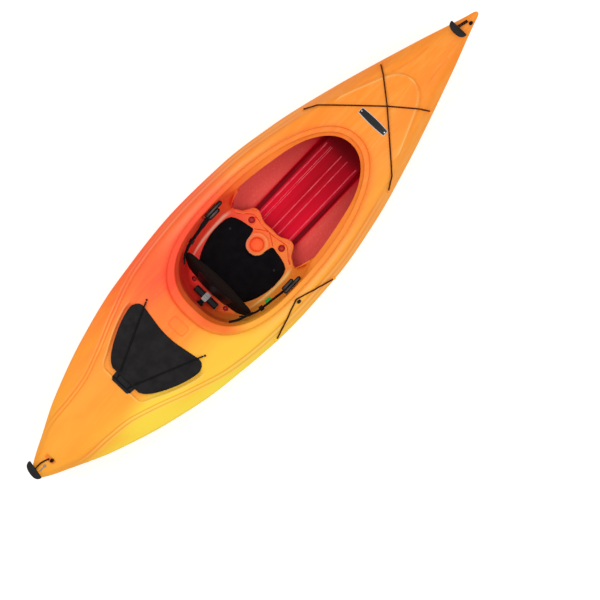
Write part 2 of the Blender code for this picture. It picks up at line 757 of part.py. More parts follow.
def border_walk(last_row, last_column):
    """Indices round the border of a grid."""
    walk = [(0, j) for j in range(last_column)] + [(i, last_column) for i in range(last_row)]
    walk += [(last_row, j) for j in range(last_column, 0, -1)] + [(i, 0) for i in range(last_row, 0, -1)]
    return walk


def belly_ring(bm, upper, lower, walk, belly):
    """Vertices half way down the sides, pushed out from the middle of the piece."""
    last_row = len(upper) - 1
    last_column = len(upper[0]) - 1
    ring = []
    for i, j in walk:
        inner_i = min(max(i, 1), last_row - 1)
        inner_j = min(max(j, 1), last_column - 1)
        edge = (upper[i][j].co + lower[i][j].co) / 2
        inner = (upper[inner_i][inner_j].co + lower[inner_i][inner_j].co) / 2
        ring.append(bm.verts.new(edge + (edge - inner).normalized() * belly))
    return ring


class Surface:
    """Finds points on the finished faces, so that what lies on them is seated on them."""

    def __init__(self, *meshes):
        self.trees = [BVHTree.FromBMesh(bm) for bm in meshes]

    def hit(self, origin, direction):
        """Nearest face along a ray, as (point, normal)."""
        hits = [tree.ray_cast(origin, direction) for tree in self.trees]
        hits = [h for h in hits if h[0] is not None]
        nearest = min(hits, key=lambda h: h[3])
        return nearest[0], nearest[1]

    def down(self, s, y, start=1.0):
        return self.hit(place(s, y, start), Vector((0, 0, -1)))

    def above(self, s, y, spread):
        """Highest point of the faces within about this distance in plan."""
        ring = [(0.0, 0.0)]
        ring += [(math.cos(math.pi * k / 4), math.sin(math.pi * k / 4)) for k in range(8)]
        return max(self.down(s + spread * a, y + spread * b)[0].z for a, b in ring)

    def beside(self, s, z, side, start):
        """Face met from a start offset, going towards port for side 1 and starboard for side -1."""
        return self.hit(place(s, start, z), Vector((0, side, 0)))


def rounded_plan(points, step):
    """Plan points at about this step along straight stretches."""
    plan = []
    for a, b in zip(points, points[1:]):
        steps = max(2, math.ceil(math.dist(a, b) / step))
        plan += [mix(a, b, k / steps) for k in range(steps)]
    return plan + [points[-1]]


def taut_path(surface, plan, lift, bump=None):
    """Points of a stretched cord over a surface: it spans the hollows. bump adds height at a plan point."""
    plan = rounded_plan(plan, CORD_STEP)
    points = []
    travelled = [0.0]
    for a, b in zip(plan, plan[1:]):
        travelled.append(travelled[-1] + math.dist(a, b))
    for k, spot in enumerate(plan):
        near = [mix(spot, plan[max(k - 1, 0)], t) for t in (0.0, 0.2, 0.4)]
        near += [mix(spot, plan[min(k + 1, len(plan) - 1)], t) for t in (0.2, 0.4)]
        height = 0.0
        for s, y in near:
            hit, normal = surface.down(s, y)
            height = max(height, hit.z + lift / max(normal.z, 0.35))
        if bump:
            height += bump(*spot)
        points.append(place(*spot, height))
    hull = []
    for i, point in enumerate(points):
        while len(hull) >= 2:
            a, b = hull[-2], hull[-1]
            slope_ab = (points[b].z - points[a].z) / (travelled[b] - travelled[a])
            slope_bi = (point.z - points[b].z) / (travelled[i] - travelled[b])
            if slope_ab > slope_bi:
                break
            hull.pop()
        hull.append(i)
    for a, b in zip(hull, hull[1:]):
        for i in range(a + 1, b):
            t = (travelled[i] - travelled[a]) / (travelled[b] - travelled[a])
            points[i].z = points[a].z + (points[b].z - points[a].z) * t
    return points


def towards(a, b, distance):
    """Plan point at a distance from a on the way to b."""
    return mix(a, b, distance / math.dist(a, b))


def add_seat(materials, surface, shell):
    """Cup holder, sockets, seat pad and its rivets."""
    s, y = CUP_PLACE
    level = pan_height(s, y)
    upright = Matrix.Translation(place(s, y, 0))
    rim = [(0, level - CUP_DEPTH), (CUP_RADIUS + WALL, level - CUP_DEPTH), (CUP_RADIUS + WALL, level - 0.004),
           (CUP_RIM_RADIUS, level - 0.002), (CUP_RIM_RADIUS, level + CUP_RIM_HEIGHT * 0.4),
           (CUP_RIM_RADIUS - 0.005, level + CUP_RIM_HEIGHT), (0, level + CUP_RIM_HEIGHT)]
    helper = add_object("cup_rim_form", turned(rim, 28, upright), materials["orange"])
    carve(shell, helper, "UNION")
    hollow = [(0, level - CUP_DEPTH + WALL), (CUP_RADIUS - 0.002, level - CUP_DEPTH + WALL),
              (CUP_RADIUS, level + 0.05), (0, level + 0.05)]
    carve(shell, add_object("cup_cutter", turned(hollow, 28, upright), materials["orange"]))
    for k, (s, y) in enumerate(SOCKETS):
        for side in (1, -1):
            spot = Matrix.Translation(place(s, y * side, pan_height(s, y) - 0.02))
            bore = pin(SOCKET_RADIUS, 0.04, 12, spot)
            cutter = add_object(f"socket_cutter_{k}_{side}", bore, materials["orange"])
            carve(shell, cutter)

    rear = smooth_line(whole_row(PAD_REAR), 16)
    front = whole_row(smooth_line(PAD_FRONT, 8))
    side = smooth_line(PAD_SIDE, 14)
    grid = filled_grid(rear, front, side, mirrored(side))

    def bottom(i, j, s, y):
        return place(s, y, surface.above(s, y, 0.006) + 0.0008)

    def top(i, j, s, y):
        crown = (1 - abs(2 * i / 14 - 1) ** 5) * (1 - abs(2 * j / 16 - 1) ** 5)
        return bottom(i, j, s, y) + Vector((0, 0, PAD_EDGE + (PAD_THICKNESS - PAD_EDGE) * crown ** 0.5))

    pad_bm = quilt(grid, top, bottom, 0.002)
    pad_top = Surface(pad_bm)
    pad = add_object("seat_pad", pad_bm, materials["foam_black"])
    for side, word in ((1, "left"), (-1, "right")):
        s, y = PAD_RIVET_PLACE
        base = surface.above(s, y * side, 0.004)
        spot = Matrix.Translation(place(s, y * side, base))
        hole = pin(0.0034, 0.04, 10, spot @ Matrix.Translation((0, 0, -0.01)))
        carve(pad, add_object(f"pad_hole_cutter_{word}", hole, materials["foam_black"]))
        height = pad_top.above(s, y * side, 0.007) - base + 0.0005
        head = [(0, 0.0006), (0.003, 0.0006), (0.003, height), (0.007, height), (0.0062, height + 0.0025),
                (0, height + 0.0035)]
        add_object(f"seat_pad_rivet_{word}", turned(head, 12, spot), materials["dark_plastic"])


def back_point(across, up, out):
    """A point of the backrest: across it, up its lean, and out of its front face."""
    lean = Vector((math.sin(BACK_LEAN), 0, math.cos(BACK_LEAN)))
    face = Vector((math.cos(BACK_LEAN), 0, -math.sin(BACK_LEAN)))
    wrap = BACK_WRAP * (across / BACK_HALF) ** 2
    return place(BACK_AXIS[0], across, BACK_AXIS[1]) + lean * up + face * (out + wrap)


def back_half_width(t):
    """Half width of the backrest at a share t of its height: widest below the middle, arched at the top."""
    spread = 0.74 + 0.26 * math.sin(math.pi * min(t / 0.84, 1.0))
    return BACK_HALF * spread * (1 - 1.2 * max(t - 0.5, 0) ** 1.6)


def add_backrest(materials, surface):
    """Padded panel, its plate, the cross bar behind it, and the rear strap with its buckle and anchor."""
    pivot = add_pivot("backrest_pivot", place(BACK_AXIS[0], 0, BACK_AXIS[1]))
    rows = 12
    columns = 18
    plan = [[(2 * j / columns - 1, i / rows) for j in range(columns + 1)] for i in range(rows + 1)]

    def outline(u, t):
        width = back_half_width(t)
        across = u * width
        arch = 0.12 * BACK_HEIGHT * t * u * u
        return across, 0.010 + (BACK_HEIGHT - 0.010) * t - arch

    def front(i, j, u, t):
        across, up = outline(u, t)
        crown = math.sqrt((1 - abs(u) ** 4) * (1 - abs(2 * t - 1) ** 4))
        thickness = 0.007 + 0.022 * crown * (1 - 0.45 * t)
        return back_point(across, up, 0.002 + thickness)

    def back(i, j, u, t):
        across, up = outline(u, t)
        return back_point(across, up, 0.0)

    add_object("backrest_pad", quilt(plan, front, back, 0.003), materials["fabric"], pivot, 60)

    def plate_face(out):
        def point(i, j, u, t):
            narrow = 1 - 0.18 * (1 - t)
            return back_point(u * BACK_PLATE_HALF * narrow, 0.014 + (BACK_PLATE_HEIGHT - 0.014) * t, out)
        return point

    plate_plan = [[(2 * j / 8 - 1, i / 3) for j in range(9)] for i in range(4)]
    depth = BACK_PLATE_THICKNESS
    plate = quilt(plate_plan, plate_face(-0.0006), plate_face(-0.0006 - depth))
    add_object("backrest_plate", plate, materials["dark_plastic"], pivot)

    ends = [surface.down(BAR_S + dx, y, 0.22)[0].z for dx in (-0.017, 0.017) for y in (-0.07, 0.0, 0.07)]
    bar_low = max(ends) + GAP
    bar = block(BAR_SIZE, Matrix.Translation(place(BAR_S, 0, bar_low + BAR_SIZE[2] / 2)), 0.005)
    add_object("backrest_cross_bar", bar, materials["dark_plastic"])

    top = bar_low + BAR_SIZE[2]
    strap_z = top + 0.0022
    wall, wall_normal = surface.hit(place(1.15, 0, top + 0.030), Vector((-1, 0, 0)))
    size = (0.026, 0.032, 0.005)
    proud = 0.0
    for up in (-size[0] / 2, size[0] / 2):
        for across in (-size[1] / 2, 0.0, size[1] / 2):
            corner = frame_at(wall, wall_normal, Vector((0, 0, 1))) @ Vector((up, across, 0.03))
            proud = max(proud, 0.03 - (surface.hit(corner, -wall_normal)[0] - corner).length)
    seat = wall + wall_normal * (proud + size[2] / 2 + 0.0006)
    anchor = frame_at(seat, wall_normal, Vector((0, 0, 1)))
    add_object("rear_strap_anchor", block(size, anchor, 0.0015, 1), materials["dark_plastic"])
    start = seat + wall_normal * (size[2] / 2 + 0.0020)
    path = [start, start + Vector((0.008, 0, -0.012))]
    path += [place(BAR_S + along, 0, strap_z) for along in (-0.008, 0.004, 0.016)]
    add_object("rear_strap", strap_solid(path, face=Vector((0, 1, 0))), materials["webbing"])
    middle = Matrix.Translation(place(BAR_S + 0.004, 0, strap_z + 0.0034))
    buckle = block((0.018, 0.032, 0.003), middle, 0.001, 1)
    add_object("rear_strap_buckle", buckle, materials["grey_plastic"])
    return pivot


def add_side_straps(materials):
    """Straps from the backrest's ends to the slots in the cockpit wall."""
    for side, word in ((1, "left"), (-1, "right")):
        path = [place(s, y * side, z) for s, y, z in SIDE_STRAP]
        face = Vector((0, -0.6 * side, 0.8))
        add_object(f"{word}_back_strap", strap_solid(path, face=face), materials["webbing"])
        near, far = STRAP_LOOP_S
        add_strap_loop(materials, word, side, near, far)
        add_adjuster(materials, word, side)
    path = [place(*p) for p in TAIL]
    add_object("right_strap_tail", strap_solid(path, face=Vector((0, 0.6, 0.8))), materials["webbing"])


def add_strap_loop(materials, word, side, near, far):
    """Flattened ring of webbing at the slot."""
    bm = bmesh.new()
    half_height = 0.010
    radius = 0.0075
    wall = 0.003
    turns = 6
    outer = []
    for centre, start in ((far - radius, -90), (near + radius, 90)):
        for k in range(turns + 1):
            angle = math.radians(start + 180 * k / turns)
            outer.append((centre, radius, math.cos(angle), math.sin(angle)))
    rings = []
    for size, height in ((1, -half_height), (1, half_height), (0, half_height), (0, -half_height)):
        ring = []
        for centre, reach, c, d in outer:
            r = reach if size else reach - wall
            across = side * (STRAP_LOOP_Y + r * d)
            ring.append(bm.verts.new(place(centre + r * c, across, STRAP_LOOP_Z + height)))
        rings.append(ring)
    count = len(outer)
    for first, second in zip(rings, rings[1:] + rings[:1]):
        for k in range(count):
            n = (k + 1) % count
            bm.faces.new([first[k], first[n], second[n], second[k]])
    bmesh.ops.recalc_face_normals(bm, faces=bm.faces)
    add_object(f"{word}_strap_loop", bm, materials["webbing"])


def add_adjuster(materials, word, side):
    """Ladder-lock buckle that slides along the strap."""
    (s0, y0, z0), (s1, y1, z1) = SIDE_STRAP[1], SIDE_STRAP[2]
    t = (ADJUSTER_S - s0) / (s1 - s0)
    centre = place(s0 + (s1 - s0) * t, side * (y0 + (y1 - y0) * t), z0 + (z1 - z0) * t)
    along = (place(s1, side * y1, z1) - place(s0, side * y0, z0)).normalized()
    across = Vector((0, -0.6 * side, 0.8))
    across = (across - along * across.dot(along)).normalized()
    matrix = Matrix((along, across, along.cross(across))).transposed().to_4x4()
    matrix.translation = centre
    body = block((0.022, 0.032, 0.0095), matrix, 0.0015, 1)
    adjuster = add_object(f"{word}_strap_adjuster", body, materials["dark_plastic"])
    slot = block((0.030, STRAP_WIDTH + 0.0012, STRAP_THICKNESS + 0.0012), matrix)
    carve(adjuster, add_object(f"{word}_adjuster_cutter", slot, materials["dark_plastic"]))


def cover_top(s, y):
    """Height of the top of the hatch cover."""
    return deck_height(s, y) + recess_drop(s, y) + COVER_LIFT


def build_cover(surface):
    """Hatch cover: a shield-shaped lid with a skirt that reaches down to the recess."""
    side = smooth_line(COVER_SIDE, 10)
    rear = whole_row(even_points(COVER_REAR, 6))
    front = whole_row(smooth_line(COVER_FRONT, 6))
    grid = filled_grid(rear, front, side, mirrored(side))
    bm = bmesh.new()
    rows = len(grid) - 1
    columns = len(grid[0]) - 1
    verts = []
    for i, line in enumerate(grid):
        row = []
        for j, (s, y) in enumerate(line):
            edge = i in (0, rows) or j in (0, columns)
            row.append(bm.verts.new(place(s, y, cover_top(s, y) - (0.003 if edge else 0.0))))
        verts.append(row)
    for i in range(rows):
        for j in range(columns):
            bm.faces.new([verts[i][j], verts[i][j + 1], verts[i + 1][j + 1], verts[i + 1][j]])
    edge = [verts[i][j] for i, j in border_walk(rows, columns)]
    skirt = []
    centre = place(0.78, 0, 0)
    for v in edge:
        outward = Vector((v.co.x - centre.x, v.co.y, 0)).normalized() * 0.002
        low = surface.above(v.co.x + outward.x + MIDSHIP, v.co.y + outward.y, 0.015)
        skirt.append(bm.verts.new(Vector((v.co.x + outward.x, v.co.y + outward.y, low + 0.0012))))
    for k in range(len(edge)):
        n = (k + 1) % len(edge)
        bm.faces.new([edge[n], edge[k], skirt[k], skirt[n]])
    thicken(bm, COVER_WALL, lambda v: True)
    bmesh.ops.recalc_face_normals(bm, faces=bm.faces)
    return bm


def add_hatch(materials, shell_bm, surface):
    """Cover, hinge strap, the two cords over the cover and the hooks that hold them."""
    cover = build_cover(surface)
    both = Surface(shell_bm, cover)
    hinge_s = 0.6103
    hinge_z = cover_top(hinge_s, 0) - 0.004
    pivot = add_pivot("hatch_pivot", place(hinge_s, 0, hinge_z))
    strap = HINGE_STRAP
    rows = 3
    grid = filled_grid(
        [(strap["rear"], strap["half"] * (1 - k / 3) * 0.9) for k in range(7)],
        [(strap["front"], strap["half"] * (1 - k / 3)) for k in range(7)],
        [(strap["rear"] + (strap["front"] - strap["rear"]) * k / rows, strap["half"] * (0.9 + 0.1 * k / rows))
         for k in range(rows + 1)],
        [(strap["rear"] + (strap["front"] - strap["rear"]) * k / rows, -strap["half"] * (0.9 + 0.1 * k / rows))
         for k in range(rows + 1)])

    def bottom(i, j, s, y):
        return place(s, y, surface.down(s, y)[0].z + 0.0012)

    def top(i, j, s, y):
        return place(s, y, surface.down(s, y)[0].z + 0.0012 + strap["thickness"])

    add_object("hatch_hinge_strap", quilt(grid, top, bottom), materials["rubber"])
    for side, word in ((1, "left"), (-1, "right")):
        plan = [(s, y * side) for s, y in HATCH_CORD]
        path = taut_path(both, plan, CORD_RADIUS + GAP)
        add_object(f"hatch_cord_{word}", cord_solid(path), materials["cord"], pivot)
        s, y = HATCH_HOOK
        spot, normal = surface.down(s, y * side)
        shape = [(0, 0), (0.0055, 0), (0.0055, 0.0015), (0.0038, 0.005), (0.0034, 0.008), (0, 0.009)]
        hook = turned(shape, 12, frame_at(spot + normal * 0.0012, normal))
        add_object(f"hatch_hook_{word}", hook, materials["dark_plastic"])
    add_object("hatch_cover", cover, materials["rubber"], pivot)


def add_eyelet(name, surface, s, y, material):
    """Small moulded eye that a cord's end goes into."""
    spot, normal = surface.down(s, y)
    shape = [(0, 0), (EYELET_RADIUS, 0), (EYELET_RADIUS, EYELET_HEIGHT * 0.45),
             (EYELET_RADIUS * 0.7, EYELET_HEIGHT * 0.85), (0, EYELET_HEIGHT)]
    add_object(name, turned(shape, 12, frame_at(spot + normal * 0.0008, normal)), material)


def add_deck_cords(materials, surface):
    """Crossed cords on the foredeck and the paddle keeper on the starboard side."""
    reach = EYELET_RADIUS + GAP
    crossing = None
    for side, word, number in ((1, "port", 0), (-1, "starboard", 2)):
        plan = [(s, y * side) for s, y in BOW_CORD]
        add_eyelet(f"bow_eyelet_{number + 1}", surface, *plan[0], materials["orange"])
        add_eyelet(f"bow_eyelet_{number + 2}", surface, *plan[-1], materials["orange"])
        plan[0] = towards(plan[0], plan[1], reach)
        plan[-1] = towards(plan[-1], plan[-2], reach)
        if crossing is None:
            (s0, y0), (s1, y1) = plan[1], plan[2]
            crossing = s0 + (s1 - s0) * y0 / (y0 - y1)
            path = taut_path(surface, plan, CORD_RADIUS + GAP)
        else:
            step = 2 * CORD_RADIUS + 2 * GAP

            def over(s, y):
                return step * smooth_step(2.2 - math.dist((s, y), (crossing, 0)) / 0.03)

            path = taut_path(surface, plan, CORD_RADIUS + GAP, over)
        add_object(f"bow_cord_from_{word}", cord_solid(path), materials["cord"])

    add_eyelet("keeper_eyelet_rear", surface, *KEEPER_CORD[0], materials["orange"])
    add_eyelet("keeper_eyelet_front", surface, *KEEPER_CORD[-1], materials["orange"])
    plan = [towards(KEEPER_CORD[0], KEEPER_CORD[1], reach), KEEPER_CORD[1],
            towards(KEEPER_CORD[2], KEEPER_CORD[1], reach)]
    path = []
    for s, y in rounded_plan(plan, CORD_STEP):
        spot, normal = surface.down(s, y)
        path.append(spot + normal * (CORD_RADIUS + 0.0022))
    add_object("keeper_cord", cord_solid(path), materials["cord"])
    spot, normal = surface.down(*KEEPER_BALL_PLACE)
    ball = bmesh.new()
    bmesh.ops.create_uvsphere(ball, u_segments=12, v_segments=8, radius=KEEPER_BALL_RADIUS)
    ball.transform(Matrix.Translation(spot + normal * (KEEPER_BALL_RADIUS + 0.0012)))
    add_object("keeper_ball", ball, materials["dark_plastic"])


def grip_solid(matrix):
    """T-grip: a bar with a straight front, a rounded back and soft ends."""
    depth, width, height = GRIP
    outline = []
    for k in range(15):
        angle = math.pi * (0.5 + k / 14)
        across = math.copysign(abs(math.sin(angle)) ** 0.8, math.sin(angle))
        outline.append((depth * (0.42 - 0.92 * abs(math.cos(angle)) ** 0.9), width / 2 * across))
    outline += [(depth * 0.5, -width * 0.46), (depth * 0.5, width * 0.46)]
    bm = bmesh.new()
    rings = []
    for scale, z in ((0.84, 0.0), (1.0, height * 0.3), (1.0, height * 0.7), (0.84, height)):
        rings.append([bm.verts.new((x * scale, y * (0.5 + scale / 2), z)) for x, y in outline])
    count = len(outline)
    for low, high in zip(rings, rings[1:]):
        for k in range(count):
            n = (k + 1) % count
            bm.faces.new([low[k], low[n], high[n], high[k]])
    bm.faces.new(rings[0][::-1])
    bm.faces.new(rings[-1])
    bmesh.ops.recalc_face_normals(bm, faces=bm.faces)
    bm.transform(matrix)
    return bm


def add_handle(materials, surface, word, grip_s, grip_y, turn, hole_s):
    """A T-grip on a short cord that comes out of a hole in the deck."""
    hole, normal = surface.down(hole_s, 0.0)
    pivot = add_pivot(f"{word}_handle_pivot", hole + normal * 0.006)
    under = [(grip_s + dx, y) for dx in (-0.012, 0.0, 0.017) for y in (0.0, grip_y - 0.03, grip_y + 0.03)]
    on_deck = [(s, y) for s, y in under if s > STERN_TIP and abs(y) < 0.9 * half_beam(s)]
    base = max(surface.down(s, y)[0].z for s, y in on_deck) + 0.0012
    matrix = Matrix.Translation(place(grip_s, grip_y, base)) @ Matrix.Rotation(turn, 4, "Z")
    add_object(f"{word}_handle_grip", grip_solid(matrix), materials["rubber"], pivot)
    start = matrix @ Vector((GRIP[0] * 0.5 + 0.0008, 0, GRIP[2] * 0.5))
    end = hole + normal * (CORD_RADIUS * 1.2 + 0.0008)
    path = []
    steps = 7
    for k in range(steps + 1):
        t = k / steps
        point = start.lerp(end, t)
        spot, up = surface.down(point.x + MIDSHIP, min(point.y, 0.5 * half_beam(point.x + MIDSHIP)))
        lowest = (spot + up * (CORD_RADIUS + 0.001)).z
        point.z = max(lowest, start.z + (lowest - start.z) * smooth_step(t))
        path.append(point)
    add_object(f"{word}_handle_cord", cord_solid(path, 0.0032), materials["cord"], pivot)
    spot, up = surface.down(hole_s + KNOT_OFFSET[0], KNOT_OFFSET[1])
    knot = bmesh.new()
    bmesh.ops.create_uvsphere(knot, u_segments=10, v_segments=6, radius=0.006)
    knot.transform(Matrix.Translation(spot + up * 0.0068))
    add_object(f"{word}_handle_knot", knot, materials["cord"])


def add_rivet(name, point, outward, length, material, shell):
    """Rivet through the shell: a domed head outside and a shank in a clearance hole."""
    matrix = frame_at(point, outward)
    hole = pin(0.0036, 0.04, 10, matrix @ Matrix.Translation((0, 0, -0.02)))
    carve(shell, add_object(f"{name}_cutter", hole, material))
    shape = [(0, -length), (0.0032, -length), (0.0032, 0.0006), (0.0075, 0.0006), (0.006, 0.0028), (0, 0.0036)]
    add_object(name, turned(shape, 12, matrix), material)


def add_foot_braces(materials, surface, shell):
    """On each side a channel rail, riveted to the hull, and a pedal whose foot slides in it."""
    for side, word in ((1, "left"), (-1, "right")):
        skins = []
        for s, z in (RAIL_REAR, RAIL_FRONT):
            inner = surface.beside(s, z, side, 0.0)[0]
            outer, normal = surface.beside(s, z, -side, 0.6 * side)
            skins.append((inner, outer, normal))
        rear, front = skins[0][0], skins[1][0]
        along = (front - rear).normalized()
        inward = Vector((0, -side, 0))
        inward = (inward - along * inward.dot(along)).normalized()
        matrix = Matrix((along, inward, along.cross(inward))).transposed().to_4x4()
        matrix.translation = (rear + front) / 2 + inward * 0.0045
        length = (front - rear).length + 2 * RAIL_OVERHANG
        add_object(f"{word}_foot_rail", rail_solid(length, matrix), materials["aluminium"])
        add_pedal(materials, word, matrix)
        for end, (inner, outer, normal) in zip(("rear", "front"), skins):
            add_rivet(f"{word}_rail_rivet_{end}", outer, normal, WALL + 0.0012, materials["steel"], shell)


def rail_solid(length, matrix):
    """Channel with its mouth turned inboard. Local Y is inboard from the back of the channel."""
    high = RAIL_HEIGHT / 2
    web = 0.0025
    lip = high - 0.008
    profile = [(0, -high), (RAIL_DEPTH, -high), (RAIL_DEPTH, -lip), (RAIL_DEPTH - web, -lip),
               (RAIL_DEPTH - web, -high + web), (web, -high + web), (web, high - web),
               (RAIL_DEPTH - web, high - web), (RAIL_DEPTH - web, lip), (RAIL_DEPTH, lip),
               (RAIL_DEPTH, high), (0, high)]
    bm = bmesh.new()
    ends = [[bm.verts.new((x, y, z)) for y, z in profile] for x in (-length / 2, length / 2)]
    count = len(profile)
    for k in range(count):
        n = (k + 1) % count
        bm.faces.new([ends[0][k], ends[0][n], ends[1][n], ends[1][k]])
    bm.faces.new(ends[0][::-1])
    bm.faces.new(ends[1])
    bmesh.ops.recalc_face_normals(bm, faces=bm.faces)
    bm.transform(matrix)
    return bm


def add_pedal(materials, word, matrix):
    """Pedal: a tongue in the channel, a neck through its mouth, a carriage and a foot plate."""
    pivot = add_pivot(f"{word}_pedal_slide", matrix.translation)
    local = matrix.copy()
    clear = 0.0008
    high = RAIL_HEIGHT / 2
    tongue = [(0.0025 + clear, -high + 0.0025 + clear), (RAIL_DEPTH - 0.0025 - clear, -high + 0.0025 + clear),
              (RAIL_DEPTH - 0.0025 - clear, -0.0045), (RAIL_DEPTH + clear, -0.0045), (RAIL_DEPTH + clear, -0.018),
              (RAIL_DEPTH + 0.012, -0.018)]
    profile = tongue + [(y, -z) for y, z in reversed(tongue)]
    bm = bmesh.new()
    ends = [[bm.verts.new((x, y, z)) for y, z in profile] for x in (-0.03, 0.03)]
    count = len(profile)
    for k in range(count):
        n = (k + 1) % count
        bm.faces.new([ends[0][k], ends[0][n], ends[1][n], ends[1][k]])
    bm.faces.new(ends[0][::-1])
    bm.faces.new(ends[1])
    bmesh.ops.recalc_face_normals(bm, faces=bm.faces)
    bm.transform(local)
    pedal = add_object(f"{word}_foot_pedal", bm, materials["dark_plastic"], pivot)
    thick, wide, tall = PEDAL_PLATE
    centre = Matrix.Translation((0.012, RAIL_DEPTH + 0.010 + wide / 2, 0.0))
    plate = block((thick, wide, tall), local @ centre, 0.003, 1)
    carve(pedal, add_object(f"{word}_pedal_plate_form", plate, materials["dark_plastic"], pivot), "UNION")


def foam_block(surface, first, last):
    """Foam pillar that stands on the bottom of the hull and holds up the deck."""
    rows = 6
    columns = 4
    port = [(first + (last - first) * k / rows, FOAM_HALF_WIDTH) for k in range(rows + 1)]
    rear = [(first, FOAM_HALF_WIDTH * (1 - 2 * k / columns)) for k in range(columns + 1)]
    front = [(last, y) for s, y in rear]

    def wall(s, y, way):
        spots = [(s, y), (s - 0.02, y), (s + 0.02, y), (s, y - 0.008), (s, y + 0.008)]
        hits = [surface.hit(place(a, b, FOAM_MIDDLE), Vector((0, 0, way)))[0].z for a, b in spots]
        return min(way * z for z in hits) * way - way * FOAM_GAP

    def top(i, j, s, y):
        return place(s, y, wall(s, y, 1))

    def bottom(i, j, s, y):
        return place(s, y, wall(s, y, -1))

    return quilt(filled_grid(rear, front, port, mirrored(port)), top, bottom)


def main():
    for obj in list(bpy.data.objects):
        bpy.data.objects.remove(obj)
    materials = {
        "orange": make_material("moulded_orange", ORANGE, 0.38),
        "foam_black": make_material("pad_foam", BLACK, 0.75),
        "fabric": make_material("backrest_fabric", BLACK, 0.85),
        "webbing": make_material("webbing", BLACK, 0.80),
        "rubber": make_material("black_rubber", BLACK, 0.55),
        "cord": make_material("shock_cord", BLACK, 0.70),
        "dark_plastic": make_material("black_plastic", DARK_GREY, 0.45),
        "grey_plastic": make_material("grey_plastic", GREY, 0.40),
        "steel": make_material("rivet_steel", STEEL, 0.30, 1.0),
        "aluminium": make_material("rail_aluminium", STEEL, 0.40, 1.0),
        "foam": make_material("flotation_foam", FOAM, 0.90),
    }
    shell_bm = build_shell()
    surface = Surface(shell_bm)
    add_object("stern_foam_pillar", foam_block(surface, *STERN_FOAM), materials["foam"])
    add_object("bow_foam_pillar", foam_block(surface, *BOW_FOAM), materials["foam"])
    add_hatch(materials, shell_bm, surface)
    shell = add_object("hull_and_deck", shell_bm, materials["orange"])
    add_seat(materials, surface, shell)
    add_backrest(materials, surface)
    add_side_straps(materials)
    add_deck_cords(materials, surface)
    add_handle(materials, surface, "bow", BOW_GRIP_S, BOW_GRIP_Y, 0.0, BOW_HANDLE_HOLE)
    add_handle(materials, surface, "stern", STERN_GRIP_S, STERN_GRIP_Y, STERN_GRIP_TURN, STERN_HANDLE_HOLE)
    s, y = STERN_SCREW_PLACE
    spot, normal = surface.down(s, y)
    add_rivet("stern_screw", spot, normal, 0.010, materials["steel"], shell)
    add_foot_braces(materials, surface, shell)


main()
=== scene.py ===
"""Looks of the sit-in kayak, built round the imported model.

Lengths are in metres. X runs to the bow, Y to port and Z up. Places along the hull are given as s, the
distance from a datum 25 mm inside the stern tip, and place() turns s into the world's X.
"""

import functools
import math

import bmesh
import bpy
from mathutils import Matrix, Vector
from mathutils.bvhtree import BVHTree
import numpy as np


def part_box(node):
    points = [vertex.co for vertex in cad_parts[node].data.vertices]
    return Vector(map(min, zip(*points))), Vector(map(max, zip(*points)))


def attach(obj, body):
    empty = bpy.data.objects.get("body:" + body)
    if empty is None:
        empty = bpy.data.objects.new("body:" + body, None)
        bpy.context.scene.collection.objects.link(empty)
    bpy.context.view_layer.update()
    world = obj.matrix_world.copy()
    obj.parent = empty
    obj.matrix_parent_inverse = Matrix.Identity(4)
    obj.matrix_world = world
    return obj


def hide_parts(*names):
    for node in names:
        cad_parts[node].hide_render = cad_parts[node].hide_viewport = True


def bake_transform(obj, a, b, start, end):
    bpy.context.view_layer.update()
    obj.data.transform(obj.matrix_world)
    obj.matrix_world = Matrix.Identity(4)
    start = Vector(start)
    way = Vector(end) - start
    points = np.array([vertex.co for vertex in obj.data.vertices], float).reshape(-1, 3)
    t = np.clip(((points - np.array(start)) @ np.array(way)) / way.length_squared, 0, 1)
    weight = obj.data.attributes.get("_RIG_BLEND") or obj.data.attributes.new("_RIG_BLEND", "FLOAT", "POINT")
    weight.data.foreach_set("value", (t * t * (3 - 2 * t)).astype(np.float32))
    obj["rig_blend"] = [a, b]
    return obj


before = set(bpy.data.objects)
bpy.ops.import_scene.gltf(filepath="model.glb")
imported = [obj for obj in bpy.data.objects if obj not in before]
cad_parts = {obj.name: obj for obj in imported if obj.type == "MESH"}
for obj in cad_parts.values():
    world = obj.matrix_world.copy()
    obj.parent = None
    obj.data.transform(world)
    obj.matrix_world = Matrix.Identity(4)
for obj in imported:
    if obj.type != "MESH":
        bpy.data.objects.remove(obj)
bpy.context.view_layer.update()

# Midship's distance from the datum, the wall's thickness, and the air kept between two pieces
MIDSHIP = 1.508
WALL = 0.0045
GAP = 0.0005

# Guide lines of the hull, each a list of (s, value)
HALF_BEAM_LINE = [(-0.025, 0.012), (0.0, 0.036), (0.152, 0.116), (0.305, 0.190), (0.610, 0.295),
                  (0.914, 0.360), (1.372, 0.400), (1.676, 0.388), (1.981, 0.341), (2.286, 0.263),
                  (2.743, 0.117), (3.0, 0.0255), (3.03, 0.0160), (3.042, 0.0105), (3.048, 0.0045)]
SHEER_LINE = [(-0.025, 0.256), (0.2, 0.232), (0.5, 0.215), (0.9, 0.200), (1.4, 0.195), (2.05, 0.200),
              (2.57, 0.224), (2.95, 0.256), (3.048, 0.266)]
KEEL_LINE = [(-0.025, 0.250), (0.0, 0.205), (0.037, 0.129), (0.074, 0.077), (0.112, 0.043), (0.15, 0.023),
             (0.19, 0.008), (0.23, 0.0), (2.56, 0.0), (2.62, 0.003), (2.717, 0.0143), (2.803, 0.0358),
             (2.86, 0.0545), (2.917, 0.087), (2.975, 0.133), (3.003, 0.172), (3.032, 0.219),
             (3.048, 0.256)]
